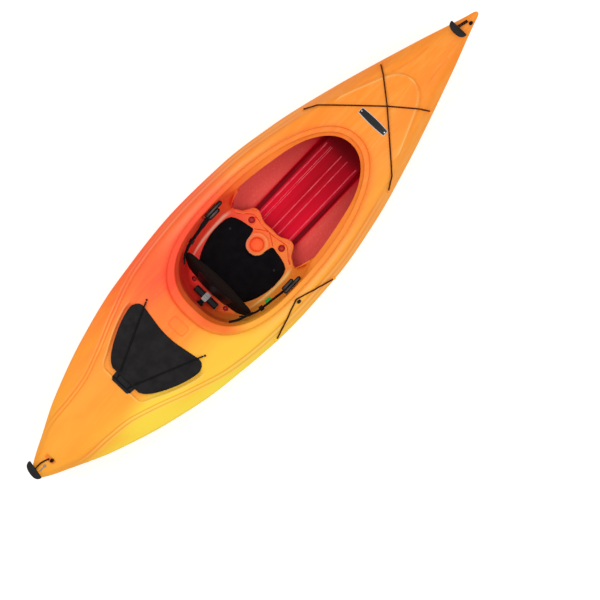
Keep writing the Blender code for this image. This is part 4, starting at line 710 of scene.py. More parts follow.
def cord_solid(path, radius, sides):
    """A round bar along a path, with flat ends."""
    outline = [(radius * math.cos(2 * math.pi * k / sides), radius * math.sin(2 * math.pi * k / sides))
               for k in range(sides)]
    return swept(path, outline, lambda i: Vector((0.0, 0.36, 1.0)))


def block(size, matrix, bevel=0.0, segments=2):
    """A box centred on the matrix, with rounded edges."""
    bm = bmesh.new()
    bmesh.ops.create_cube(bm, size=1.0)
    bmesh.ops.scale(bm, vec=size, verts=bm.verts)
    if bevel:
        bmesh.ops.bevel(bm, geom=list(bm.edges), offset=bevel, segments=segments, affect="EDGES", profile=0.5)
    bm.transform(matrix)
    return bm


def quilt(grid, top, bottom, belly=0.0):
    """A closed solid between two point functions over a grid. belly pushes the middle of its sides out."""
    bm = bmesh.new()
    rows = len(grid)
    columns = len(grid[0])
    upper = [[bm.verts.new(top(i, j, *grid[i][j])) for j in range(columns)] for i in range(rows)]
    lower = [[bm.verts.new(bottom(i, j, *grid[i][j])) for j in range(columns)] for i in range(rows)]
    for i in range(rows - 1):
        for j in range(columns - 1):
            bm.faces.new([upper[i][j], upper[i][j + 1], upper[i + 1][j + 1], upper[i + 1][j]])
            bm.faces.new([lower[i + 1][j], lower[i + 1][j + 1], lower[i][j + 1], lower[i][j]])
    walk = border_walk(rows - 1, columns - 1)
    edges = [[upper[i][j] for i, j in walk], [lower[i][j] for i, j in walk]]
    if belly:
        edges.insert(1, belly_ring(bm, upper, lower, walk, belly))
    bridge(bm, edges)
    bmesh.ops.recalc_face_normals(bm, faces=bm.faces)
    return bm


def border_walk(last_row, last_column):
    """Indices round the border of a grid."""
    walk = [(0, j) for j in range(last_column)] + [(i, last_column) for i in range(last_row)]
    walk += [(last_row, j) for j in range(last_column, 0, -1)] + [(i, 0) for i in range(last_row, 0, -1)]
    return walk


def belly_ring(bm, upper, lower, walk, belly):
    """Vertices half way down the sides, pushed out from the middle of the piece."""
    last_row = len(upper) - 1
    last_column = len(upper[0]) - 1
    ring = []
    for i, j in walk:
        inner_i = min(max(i, 1), last_row - 1)
        inner_j = min(max(j, 1), last_column - 1)
        edge = (upper[i][j].co + lower[i][j].co) / 2
        inner = (upper[inner_i][inner_j].co + lower[inner_i][inner_j].co) / 2
        ring.append(bm.verts.new(edge + (edge - inner).normalized() * belly))
    return ring


class Surface:
    """Finds points on the finished faces, so that what lies on them is seated on them."""

    def __init__(self, *meshes):
        self.trees = [BVHTree.FromBMesh(bm) for bm in meshes]

    def hit(self, origin, direction):
        """Nearest face along a ray, as (point, normal)."""
        hits = [tree.ray_cast(origin, direction) for tree in self.trees]
        hits = [h for h in hits if h[0] is not None]
        nearest = min(hits, key=lambda h: h[3])
        return nearest[0], nearest[1]

    def down(self, s, y, start=1.0):
        """Face met from a height, going down."""
        return self.hit(place(s, y, start), Vector((0, 0, -1)))

    def above(self, s, y, spread):
        """Highest point of the faces within about this distance in plan."""
        ring = [(0.0, 0.0)]
        ring += [(math.cos(math.pi * k / 4), math.sin(math.pi * k / 4)) for k in range(8)]
        return max(self.down(s + spread * a, y + spread * b)[0].z for a, b in ring)

    def beside(self, s, z, side, start):
        """Face met from a start offset, going towards port for side 1 and starboard for side -1."""
        return self.hit(place(s, start, z), Vector((0, side, 0)))

    def joined(self, bm):
        """This surface together with another mesh."""
        both = Surface(bm)
        both.trees = self.trees + both.trees
        return both


def rounded_plan(points, step):
    """Plan points at about this step along straight stretches."""
    plan = []
    for a, b in zip(points, points[1:]):
        steps = max(2, math.ceil(math.dist(a, b) / step))
        plan += [mix(a, b, k / steps) for k in range(steps)]
    return plan + [points[-1]]


def taut_path(surface, plan, lift, bump=None):
    """Points of a stretched cord over a surface: it spans the hollows. bump adds height at a plan point."""
    plan = rounded_plan(plan, CORD_STEP)
    points = []
    travelled = [0.0]
    for a, b in zip(plan, plan[1:]):
        travelled.append(travelled[-1] + math.dist(a, b))
    for k, spot in enumerate(plan):
        near = [mix(spot, plan[max(k - 1, 0)], t) for t in (0.0, 0.2, 0.4)]
        near += [mix(spot, plan[min(k + 1, len(plan) - 1)], t) for t in (0.2, 0.4)]
        height = 0.0
        for s, y in near:
            hit, normal = surface.down(s, y)
            height = max(height, hit.z + lift / max(normal.z, 0.35))
        if bump:
            height += bump(*spot)
        points.append(place(*spot, height))
    hull = []
    for i, point in enumerate(points):
        while len(hull) >= 2:
            a, b = hull[-2], hull[-1]
            slope_ab = (points[b].z - points[a].z) / (travelled[b] - travelled[a])
            slope_bi = (point.z - points[b].z) / (travelled[i] - travelled[b])
            if slope_ab > slope_bi:
                break
            hull.pop()
        hull.append(i)
    for a, b in zip(hull, hull[1:]):
        for i in range(a + 1, b):
            t = (travelled[i] - travelled[a]) / (travelled[b] - travelled[a])
            points[i].z = points[a].z + (points[b].z - points[a].z) * t
    return points


def towards(a, b, distance):
    """Plan point at a distance from a on the way to b."""
    return mix(a, b, distance / math.dist(a, b))


def back_point(across, up, out):
    """A point of the backrest: across it, up its lean, and out of its front face."""
    lean = Vector((math.sin(BACK_LEAN), 0, math.cos(BACK_LEAN)))
    face = Vector((math.cos(BACK_LEAN), 0, -math.sin(BACK_LEAN)))
    wrap = BACK_WRAP * (across / BACK_HALF) ** 2
    return place(BACK_AXIS[0], across, BACK_AXIS[1]) + lean * up + face * (out + wrap)


def back_half_width(t):
    """Half width of the backrest at a share t of its height: widest below the middle, arched at the top."""
    waist = 0.74 + 0.26 * math.sin(math.pi * min(t / 0.84, 1.0))
    return BACK_HALF * waist * (1 - 0.60 * max(t - 0.5, 0) ** 1.6 * 2)


def cover_top(s, y):
    """Height of the top of the hatch cover."""
    return deck_height(s, y) + recess_drop(s, y) + COVER_LIFT


def refined(values, parts):
    """The values with each interval divided into equal parts."""
    fine = []
    for a, b in zip(values, values[1:]):
        fine += [a + (b - a) * k / parts for k in range(parts)]
    return fine + [values[-1]]


def framed(s, y, middle, half):
    """Distance inside a rounded rectangle, as a share: 1 on its line, less inside."""
    along = abs(s - middle[0]) / half[0]
    across = abs(y - middle[1]) / half[1]
    return (along ** 6 + across ** 6) ** (1 / 6)


def crease_share(s, y):
    """How far a deck point lies in a moulded crease, from 0 to 1."""
    outside = abs(y) - ridge_width(s)
    along = smooth_step((s - 0.12) / 0.15) * (1 - smooth_step((s - 2.02) / 0.12))
    share = along * max(strength * bell(outside - offset, width) for offset, width, strength in DECK_CREASES)
    if abs(s - FRAME_PLACE[0]) < 0.05 and abs(y) < 0.08:
        share = max(share, bell(framed(s, y, FRAME_PLACE, FRAME_HALF) - 1, 0.075))
    if abs(s - DISH_PLACE[0]) < 0.03 and abs(y) < 0.05:
        share = max(share, smooth_step((1.1 - framed(s, y, DISH_PLACE, DISH_HALF)) / 0.3))
    for line, side in zip(foredeck_lines, (1, -1)):
        if line[0] < s < line[1] and y * side > 0:
            share = max(share, 0.7 * bell(y - line[2](s), 0.0022))
    return share


def pale_share(s, y):
    """How far a deck point lies on a painted highlight along its raised lines and beside its ridge, from 0 to
    1.
    """
    outside = abs(y) - ridge_width(s)
    along = smooth_step((s - 0.12) / 0.15) * (1 - smooth_step((s - 2.05) / 0.15))
    beside = smooth_step((s - 0.85) / 0.25)
    ahead = smooth_step((s - 1.45) / 0.40)
    aft = 0.50 if y < 0 else 0.15 + 0.35 * smooth_step((s - 0.50) / 0.25)
    share = along * beside * (0.58 - 0.36 * ahead) * bell(outside - 0.021, 0.0055)
    share = max(share, along * aft * bell(outside - 0.037, 0.0035))
    share = max(share, along * (1 - beside) * aft * bell(outside - 0.019, 0.0035))
    if NOSE_START < s < NOSE_LINE[-1][0] + NOSE_SLOPE:
        inside = min(nose_width(s) - abs(y), NOSE_LINE[-1][0] - s)
        share = max(share, smooth_step((s - NOSE_START) / 0.06) * 0.9 * bell(inside - 0.0105, 0.0040))
    if RECESS_REAR - 0.02 < s < RECESS_SIDE[-1][0]:
        share = max(share, 0.8 * recess_ahead(s, y) * bell(recess_inside(s, y) + 0.001, 0.0036))
    return share


def soft_deck(s, y):
    """Height of the deck with its ridge rounded and its moulded creases."""
    near = [deck_height(s, y + RIDGE_ROUNDING * k) for k in (-1, -0.5, 0, 0.5, 1)]
    bead = 0.0
    if NOSE_START < s < NOSE_LINE[-1][0] + NOSE_SLOPE:
        inside = min(nose_width(s) - abs(y), NOSE_LINE[-1][0] - s)
        full = smooth_step((s - NOSE_START) / (NOSE_FULL - NOSE_START))
        bead = NOSE_BEAD_HEIGHT * full * bell(inside - 0.011, 0.006)
    weights = (0.12, 0.22, 0.32, 0.22, 0.12)
    return sum(w * z for w, z in zip(weights, near)) - CREASE_DEPTH * crease_share(s, y) + bead


def recess_floor(s, y):
    """Share of the recess's depth at a deck point, for the painted shade in the recess, stronger towards its
    front and its port side.
    """
    deep = 0.15 + 0.65 * smooth_step((s - 0.62) / 0.12) * smooth_step((y + 0.05) / 0.10)
    return deep * recess_drop(s, y) / RECESS_DEPTH


def fine_section(s):
    """Half section of the whole shell, keel to deck centre, as (y, z)."""
    corners = hull_section(s)
    across = curve_through([(k, p[0]) for k, p in enumerate(corners)])
    up = curve_through([(k, p[1]) for k, p in enumerate(corners)])
    places = [k / KEEL_SAMPLES for k in range(KEEL_SAMPLES)]
    places += [1 + k / SIDE_SAMPLES for k in range((len(corners) - 2) * SIDE_SAMPLES + 1)]
    hull = [(across(t), up(t)) for t in places]
    beam = half_beam(s)
    ridge = ridge_width(s)
    width = beam - ridge
    near = FLANK_NEAR[0] * min(1.0, width / 0.085)
    deck = [ridge + near + (width - near) * f for f in FLANK_OUTER]
    deck += [ridge + d * near / FLANK_NEAR[0] for d in FLANK_NEAR]
    deck += [ridge * column for column in DECK_COLUMNS] + [0.0]
    line = hull + [(y, soft_deck(s, y)) for y in deck]
    sheer = len(hull) - 1
    for k in range(3):
        softer = list(line)
        for i in range(sheer - 2, sheer + 3):
            softer[i] = tuple((p + 2 * q + r) / 4 for p, q, r in zip(line[i - 1], line[i], line[i + 1]))
        line = softer
    return line


def shell_stations():
    """Places of the shell's rows from stern to bow, and the numbers of the cockpit bay's end rows."""
    tip = refined(STERN_STATIONS[:4], 4)[:-1] + refined(STERN_STATIONS[3:6], 12)[:-1]
    stern = tip + refined(STERN_STATIONS[5:], 5)[:-1]
    stern += refined([STERN_STATIONS[-1], COCKPIT_BAY_REAR], 24)[:-1]
    stern = sorted([s for s in stern if not RECESS_STATIONS[0] < s < RECESS_STATIONS[-1]] + RECESS_STATIONS)
    bay = refined([COCKPIT_BAY_REAR, COCKPIT_BAY_FRONT], BAY_STEPS)
    bow = refined([COCKPIT_BAY_FRONT] + BOW_STATIONS[:5], 8) + refined(BOW_STATIONS[4:], 4)[1:]
    bow = sorted([s for s in bow if not NOSE_STATIONS[0] <= s <= NOSE_STATIONS[-1]] + NOSE_STATIONS)
    return stern + bay + bow[1:], len(stern), len(stern) + BAY_STEPS


def build_shell():
    """The moulding as one sheet with its wall.

    Its zone attribute is 0 on the deck, 1 on the rim, 2 in the seat and 3 down in the sockets.
    """
    bm = bmesh.new()
    zone = bm.verts.layers.float.new("zone")
    # The crease attribute carries painted shade for the creases and the hatch recess, the pale attribute
    # painted highlights
    crease = bm.verts.layers.float.new("crease")
    pale = bm.verts.layers.float.new("pale")
    stations, bay_rear, bay_front = shell_stations()

    def index_near(s):
        return min(range(len(stations)), key=lambda i: abs(stations[i] - s))

    hatch_rear = index_near(HATCH_REAR)
    hatch_front = index_near(HATCH_FRONT)
    half_count = len(fine_section(stations[0]))
    centre_column = half_count - 1
    ridge_column = centre_column - len(DECK_COLUMNS) - 1
    hatch_column = ridge_column + HATCH_COLUMN
    ring = list(range(half_count)) + [-j for j in range(half_count - 2, 0, -1)]
    station_of = {}
    grid = []
    for i, s in enumerate(stations):
        row = {}
        section = fine_section(s)
        for j in ring:
            if bay_rear < i < bay_front and abs(j) > ridge_column:
                continue
            if hatch_rear < i < hatch_front and abs(j) > hatch_column:
                continue
            y, z = section[abs(j)]
            if j < 0 and abs(j) > ridge_column:
                z = soft_deck(s, -y)
            row[j] = bm.verts.new(place(s, math.copysign(y, j), z))
            if abs(j) > ridge_column - 16:
                across = math.copysign(y, j)
                # Painted shade in the creases and the recess, and painted highlights on the pale lines
                row[j][crease] = max(crease_share(s, across), recess_floor(s, across))
                row[j][pale] = pale_share(s, across)
            station_of[row[j]] = i
        grid.append(row)
    for i in range(len(stations) - 1):
        for a, b in zip(ring, ring[1:] + ring[:1]):
            lower = min(abs(a), abs(b))
            if bay_rear <= i < bay_front and lower >= ridge_column:
                continue
            if hatch_rear <= i < hatch_front and lower >= hatch_column:
                continue
            bm.faces.new([grid[i][a], grid[i][b], grid[i + 1][b], grid[i + 1][a]])

    def border(first, last, inner_column):
        """Vertices round a bay of the deck, from the rear centre round by port."""
        side = list(range(centre_column, inner_column - 1, -1))
        rear_half = [grid[first][j] for j in side]
        port = [grid[i][inner_column] for i in range(first + 1, last)]
        front = [grid[last][j] for j in reversed(side)] + [grid[last][-j] for j in side[1:]]
        starboard = [grid[i][-inner_column] for i in range(last - 1, first, -1)]
        rear_rest = [grid[first][-j] for j in reversed(side[1:])]
        return rear_half + port + front + starboard + rear_rest

    def ring_of(points, value=0.0):
        verts = [bm.verts.new(place(*p)) for p in points]
        for v in verts:
            v[zone] = value
        return verts

    def join_rings(outer, inner, skip=()):
        count = len(outer)
        for k in range(count):
            if k not in skip:
                n = (k + 1) % count
                bm.faces.new([outer[k], inner[k], inner[n], outer[n]])

    add_hatch_rim(border(hatch_rear, hatch_front, hatch_column), ring_of, join_rings)
    add_cockpit(bm, border(bay_rear, bay_front, ridge_column), ring_of, join_rings)

    hollow_first = index_near(HOLLOW_REAR)
    hollow_last = index_near(HOLLOW_FRONT)
    thicken(bm, WALL, lambda v: hollow_first <= station_of.get(v, hollow_first) <= hollow_last, 1)
    cap_holes(bm)
    bmesh.ops.recalc_face_normals(bm, faces=bm.faces)
    return bm


def thicken(bm, thickness, hollow, inside_material=0):
    """Give an open sheet an inside face, joined to it along every free edge."""
    bm.normal_update()
    faces = list(bm.faces)
    free = [e for e in bm.edges if e.is_boundary and all(hollow(v) for v in e.verts)]
    rims = [(e.link_loops[0].vert, e.link_loops[0].link_loop_next.vert) for e in free]
    inside = {}
    layers = bm.verts.layers.float.values()
    for v in list(bm.verts):
        if hollow(v):
            depth = thickness * min(v.calc_shell_factor(), 1.4)
            inside[v] = bm.verts.new(v.co - v.normal * depth)
            for layer in layers:
                inside[v][layer] = v[layer]
    for face in faces:
        if all(v in inside for v in face.verts):
            copy = bm.faces.new([inside[v] for v in reversed(face.verts)])
            copy.material_index = inside_material
    for a, b in rims:
        bm.faces.new([b, a, inside[a], inside[b]])


def add_hatch_rim(edge, ring_of, join_rings):
    """Low rim round the hatch opening, with rounded corners."""
    middle = sum((v.co for v in edge), Vector()) / len(edge)
    outer = edge
    for rise in (0.35, 0.7, 1.0):
        points = []
        for v in edge:
            inward = Vector((middle.x - v.co.x, -v.co.y, 0)).normalized() * HATCH_RIM_INSET * rise
            points.append((v.co.x + inward.x + MIDSHIP, v.co.y + inward.y, v.co.z + HATCH_RIM * rise))
        inner = ring_of(points)
        join_rings(outer, inner)
        outer = inner


def add_cockpit(bm, edge, ring_of, join_rings):
    """Rings from the deck's bay over the rim and down into the tub and the seat pan."""
    pale = bm.verts.layers.float["pale"]
    count = len(edge)
    foot = egg_loop(FOOT_EGG, count)
    inner = egg_loop(INNER_EGG, count)
    rings = [edge]
    for k in range(1, DECK_ROWS + 1):
        points = []
        for v, place_on_foot in zip(edge, foot):
            spot = mix((v.co.x + MIDSHIP, v.co.y), place_on_foot, k / DECK_ROWS)
            groove = RIM_GROOVE if k == DECK_ROWS else 0.0
            points.append((*spot, soft_deck(*spot) - groove))
        ring = ring_of(points, 0.5 * k / DECK_ROWS)
        # A painted highlight in a band on the deck beside the rim's sides
        for v, (s, _, _) in zip(ring, points):
            beside_rim = smooth_step((s - 1.12) / 0.25) * (1 - smooth_step((s - 1.70) / 0.35))
            v[pale] = 0.55 * beside_rim * math.sin(math.pi * k / DECK_ROWS)
        rings.append(ring)
    profiles = []
    for a, b in zip(foot, inner):
        low = soft_deck(*a) - RIM_GROOVE
        high = rim_height(a[0])
        forward = smooth_step((a[0] - 1.60) / 0.50)
        depth = LIP_DEPTH_SIDE + (LIP_DEPTH_FRONT - LIP_DEPTH_SIDE) * forward
        span = math.dist(a, b)
        beside_legs = smooth_step((a[0] - 1.53) / 0.10) * (1 - 0.65 * smooth_step((a[0] - 1.85) / 0.25))
        profile = [(0.0, low)] + [(reach * span, low + (high - low) * rise - drop * (1 - 0.6 * beside_legs))
                                  for reach, rise, drop in RIM_PROFILE]
        forward = LIP_REACH * span + LIP_FORWARD * beside_legs
        profile.append((forward, high - depth * (1 - 0.40 * beside_legs)))
        profiles.append([(d / span, z) for d, z in smooth_line(profile, RIM_ROWS)])
    for k in range(1, RIM_ROWS + 1):
        points = [(*mix(a, b, line[k][0]), line[k][1]) for a, b, line in zip(foot, inner, profiles)]
        rings.append(ring_of(points, 0.5 + 0.5 * min(1.0, 3 * k / RIM_ROWS)))
    slots = set(SLOT_COLUMNS) | {count - 1 - k for k in SLOT_COLUMNS}
    for k, (outer, inside) in enumerate(zip(rings, rings[1:])):
        in_slot = len(rings) - 2 - SLOT_ROWS < k < len(rings) - 2
        join_rings(outer, inside, slots if in_slot else ())
    add_tub(bm, rings[-1], ring_of)


def add_tub(bm, lip, ring_of):
    """Wall of the tub, from the rear part of the lip down to the seat pan, and the pan itself."""
    zone = bm.verts.layers.float["zone"]
    half = pan_outline()
    outline = mirrored(half[1:])[::-1] + half
    columns = list(range(-TUB_COLUMNS, TUB_COLUMNS + 1))
    top = [lip[k % len(lip)] for k in columns]
    rows = [top]
    for step in range(1, TUB_ROWS):
        level = step / TUB_ROWS
        points = []
        for v, (s, y) in zip(top, outline):
            plan = mix((v.co.x + MIDSHIP, v.co.y), (s, y), level ** 1.5)
            low = pan_height(s, y)
            points.append((*plan, v.co.z + (low - v.co.z) * level ** 0.9))
        rows.append(ring_of(points, 1 + min(1.0, 2 * level)))
    rows.append(ring_of([(s, y, pan_height(s, y)) for s, y in outline], 2.0))
    for upper, lower in zip(rows, rows[1:]):
        for k in range(len(columns) - 1):
            bm.faces.new([upper[k], lower[k], lower[k + 1], upper[k + 1]])
    pale = bm.verts.layers.float["pale"]
    # A painted highlight along the foot of the tub's wall, where it meets the pan beside the pad
    for row, share in ((rows[-2], 0.15), (rows[-1], 0.65)):
        for v, (s, y) in zip(row, outline):
            v[pale] = share * smooth_step((s - 1.20) / 0.10) * (1 - smooth_step((s - 1.50) / 0.06))
    for side in (1, -1):
        add_gusset(bm, lip, [row[-1] if side == 1 else row[0] for row in rows], side, zone)
    add_pan_hem(bm, pan_floor(bm, rows, outline, half)[-1])
    add_pan_hollows(bm)


def pan_floor(bm, rows, outline, half):
    """Rows of the seat pan's floor, joined to the tub's wall, with the corner between them rounded."""
    zone = bm.verts.layers.float["zone"]
    pale = bm.verts.layers.float["pale"]
    rear = outline[TUB_COLUMNS - TUB_CORNER:TUB_COLUMNS + TUB_CORNER + 1][::-1]
    port = half[TUB_CORNER:]
    front = whole_row(smooth_line(PAN_FRONT_EDGE, TUB_CORNER))
    grid = filled_grid(rear, front, port, mirrored(port))
    floor = []
    bottom = rows[-1]
    last_column = len(rear) - 1
    for i, row in enumerate(grid):
        line = []
        for j, (s, y) in enumerate(row):
            if i == 0:
                line.append(bottom[TUB_COLUMNS + TUB_CORNER - j])
            elif j == 0:
                line.append(bottom[TUB_COLUMNS + TUB_CORNER + i])
            elif j == last_column:
                line.append(bottom[TUB_COLUMNS - TUB_CORNER - i])
            else:
                line.append(bm.verts.new(place(s, y, pan_height(s, y))))
                line[-1][zone] = 2.0
                edge = min(j, last_column - j)
                # A painted highlight on the pan's edges beside the pad
                if edge < 3:
                    beside_pad = smooth_step((s - 1.22) / 0.08) * (1 - smooth_step((s - 1.50) / 0.05))
                    line[-1][pale] = (0.95, 0.45)[edge - 1] * beside_pad
        floor.append(line)
    for i in range(len(floor) - 1):
        for j in range(last_column):
            bm.faces.new([floor[i][j], floor[i][j + 1], floor[i + 1][j + 1], floor[i + 1][j]])
    corner = set(bottom) | set(rows[-2]) | set(rows[-3]) | set(rows[-4])
    for line in floor[1:4]:
        corner |= set(line)
    for line in floor[:-2]:
        corner |= set(line[:4]) | set(line[-4:])
    for _ in range(5):
        bmesh.ops.smooth_vert(bm, verts=list(corner), factor=0.5, use_axis_x=True, use_axis_y=True,
                              use_axis_z=True)
    return floor


def add_pan_hem(bm, edge):
    """The front edge of the seat pan, rolled over and run down into a short hem."""
    zone = bm.verts.layers.float["zone"]
    last_column = len(edge) - 1
    roll = edge
    for angle in PAN_HEM_ANGLES:
        turn = math.radians(angle)
        hem = PAN_HEM_DEPTH if angle == PAN_HEM_ANGLES[-1] else 0.0
        drop = PAN_HEM_RADIUS * (1 - math.cos(turn)) + hem
        reach = PAN_HEM_RADIUS * math.sin(turn)
        line = []
        for k, v in enumerate(edge):
            before = edge[max(k - 1, 0)].co
            after = edge[min(k + 1, last_column)].co
            outward = Vector((-(after.y - before.y), after.x - before.x, 0)).normalized()
            line.append(bm.verts.new(v.co + outward * reach - Vector((0, 0, drop))))
            line[-1][zone] = 2.0
        for k in range(last_column):
            bm.faces.new([roll[k], roll[k + 1], line[k + 1], line[k]])
        roll = line


def add_pan_hollows(bm):
    """Cup holder and sockets of the seat pan."""
    level = pan_height(*CUP_PLACE)
    round_patch(bm, *CUP_PLACE, CUP_RIM_RADIUS + 0.010, [(r, level + z) for r, z in CUP_PROFILE], 0)
    for s, y, size in SOCKETS:
        level = pan_height(s, y)
        for side in (1, -1):
            profile = [(r * size, level + z) for r, z in SOCKET_PROFILE]
            round_patch(bm, s, y * side, SOCKET_RADIUS * size, profile, 2)


def add_gusset(bm, lip, edge, side, zone):
    """Front end of the tub's wall: it tapers out forward under the lip."""
    corner = edge[-1].co.copy()
    last = lip[(side * (TUB_COLUMNS + GUSSET_COLUMNS)) % len(lip)]
    before = edge
    for q in range(1, GUSSET_COLUMNS):
        t = q / GUSSET_COLUMNS
        top = lip[(side * (TUB_COLUMNS + q)) % len(lip)]
        reach = last.co - corner
        low = corner + Vector((reach.x * t ** 1.5, reach.y * t ** 0.6, reach.z * t ** 0.62))
        column = [top]
        for k in range(1, len(edge)):
            level = k / (len(edge) - 1)
            spot = top.co.lerp(low, level ** 1.5)
            spot.z = top.co.z + (low.z - top.co.z) * level ** 0.9
            column.append(bm.verts.new(spot))
            column[-1][zone] = 1 + min(1.0, 2 * level)
        for k in range(len(edge) - 1):
            quad = [before[k], before[k + 1], column[k + 1], column[k]]
            bm.faces.new(quad if side == 1 else quad[::-1])
        before = column
    for k in range(len(edge) - 1):
        wedge = [before[k], before[k + 1], last]
        bm.faces.new(wedge if side == 1 else wedge[::-1])


def round_patch(bm, s, y, radius, profile, cuts):
    """Replace the faces round a plan point with rings of a turned profile."""
    zone = bm.verts.layers.float["zone"]
    pale = bm.verts.layers.float["pale"]
    middle = place(s, y, 0)

    def reach(v):
        return math.hypot(v.co.x - middle.x, v.co.y - middle.y)

    def inside(face):
        low = pan_height(s, y) - 0.03
        return all(reach(v) < radius and low < v.co.z < low + 0.08 for v in face.verts)

    if cuts:
        edges = {e for f in bm.faces if all(reach(v) < radius * 2.2 and v.co.z < 0.16 for v in f.verts)
                 and f.calc_center_median().z > 0.06 for e in f.edges}
        bmesh.ops.subdivide_edges(bm, edges=list(edges), cuts=cuts, use_grid_fill=True)
    doomed = [f for f in bm.faces if inside(f)]
    bmesh.ops.delete(bm, geom=doomed, context="FACES")
    free = [e for e in bm.edges if e.is_boundary and all(reach(v) < radius * 1.01 for v in e.verts)]
    nexts = {}
    for e in free:
        loop = e.link_loops[0]
        nexts[loop.link_loop_next.vert] = loop.vert
    start = next(iter(nexts))
    loop = [start]
    while nexts[loop[-1]] != start:
        loop.append(nexts[loop[-1]])
    for v in loop:
        away = Vector((v.co.x - middle.x, v.co.y - middle.y, 0)).normalized()
        v.co.x = middle.x + away.x * radius
        v.co.y = middle.y + away.y * radius
    angles = [math.atan2(v.co.y - middle.y, v.co.x - middle.x) for v in loop]
    outer = loop
    for r, z in profile:
        inner = [bm.verts.new((middle.x + r * math.cos(a), middle.y + r * math.sin(a), z)) for a in angles]
        for v in inner:
            # Zone 3 gives the sockets' painted shade, and 2.48 at their centres gives a painted highlight
            v[zone] = 3.0 if cuts and r < 0.72 * radius else 2.0
            if cuts and r < 0.25 * radius:
                v[zone] = 2.48
            # A painted highlight round the cup's rim
            if not cuts:
                v[pale] = 0.34 * bell(r - CUP_RIM_RADIUS, 0.006)
        bridge(bm, [outer, inner])
        outer = inner
    bm.faces.new(outer)


def srgb(red, green, blue):
    """Linear colour from 0 to 255 screen values."""
    values = []
    for c in (red, green, blue):
        c = c / 255
        values.append(c / 12.92 if c <= 0.04045 else ((c + 0.055) / 1.055) ** 2.4)
    return (*values, 1.0)


class Nodes:
    """Short calls for building one material's node tree."""

    def __init__(self, name):
        self.material = bpy.data.materials.new(name)
        self.material.use_nodes = True
        self.tree = self.material.node_tree
        self.shader = self.tree.nodes["Principled BSDF"]
        self.place = self.add("ShaderNodeTexCoord").outputs["Object"]

    def add(self, kind, settings=None, **inputs):
        node = self.tree.nodes.new(kind)
        for key, value in (settings or {}).items():
            setattr(node, key, value)
        for key, value in inputs.items():
            self.put(node.inputs[key], value)
        return node

    def put(self, socket, value):
        if isinstance(value, bpy.types.NodeSocket):
            self.tree.links.new(value, socket)
        else:
            socket.default_value = value

    def math(self, operation, a, b=0.0, c=0.0):
        node = self.add("ShaderNodeMath", {"operation": operation})
        for socket, value in zip(node.inputs, (a, b, c)):
            self.put(socket, value)
        return node.outputs[0]

    def times(self, a, b):
        return self.math("MULTIPLY", a, b)

    def plus(self, a, b):
        return self.math("ADD", a, b)

    def minus(self, a, b):
        return self.math("SUBTRACT", a, b)

    def step(self, value, low, high):
        """Rises smoothly from 0 at low to 1 at high."""
        settings = {"interpolation_type": "SMOOTHSTEP"}
        node = self.add("ShaderNodeMapRange", settings, Value=value, **{"From Min": low, "From Max": high})
        return node.outputs["Result"]

    def hump(self, value, a, b, c, d):
        """Rises from a to b and falls from c to d."""
        return self.times(self.step(value, a, b), self.minus(1.0, self.step(value, c, d)))

    def noise(self, vector, scale, detail=4.0, distortion=0.0):
        node = self.add("ShaderNodeTexNoise", None, Vector=vector, Scale=scale, Detail=detail,
                        Distortion=distortion, Roughness=0.5)
        return node.outputs["Fac"]

    def stretch(self, x, y, z):
        """Places scaled along each axis, so that noise on them runs in streaks."""
        node = self.add("ShaderNodeVectorMath", {"operation": "MULTIPLY"})
        self.put(node.inputs[0], self.place)
        self.put(node.inputs[1], (x, y, z))
        return node.outputs[0]

    def blend(self, share, a, b):
        """Colour a where the share is 0, and b where it is 1."""
        node = self.add("ShaderNodeMix", {"data_type": "RGBA"})
        self.put(node.inputs[0], share)
        self.put(node.inputs[6], a)
        self.put(node.inputs[7], b)
        return node.outputs[2]

    def bump(self, height):
        return self.add("ShaderNodeBump", None, Height=height, Distance=1.0, Strength=1.0).outputs["Normal"]

    def finish(self, colour, roughness, normal, specular, sheen=0.0, metallic=0.0):
        """The material, with these values given to its shader."""
        self.put(self.shader.inputs["Base Color"], colour)
        self.put(self.shader.inputs["Roughness"], roughness)
        self.shader.inputs["Specular IOR Level"].default_value = specular
        self.shader.inputs["Sheen Weight"].default_value = sheen
        self.shader.inputs["Metallic"].default_value = metallic
        if normal:
            self.put(self.shader.inputs["Normal"], normal)
        return self.material


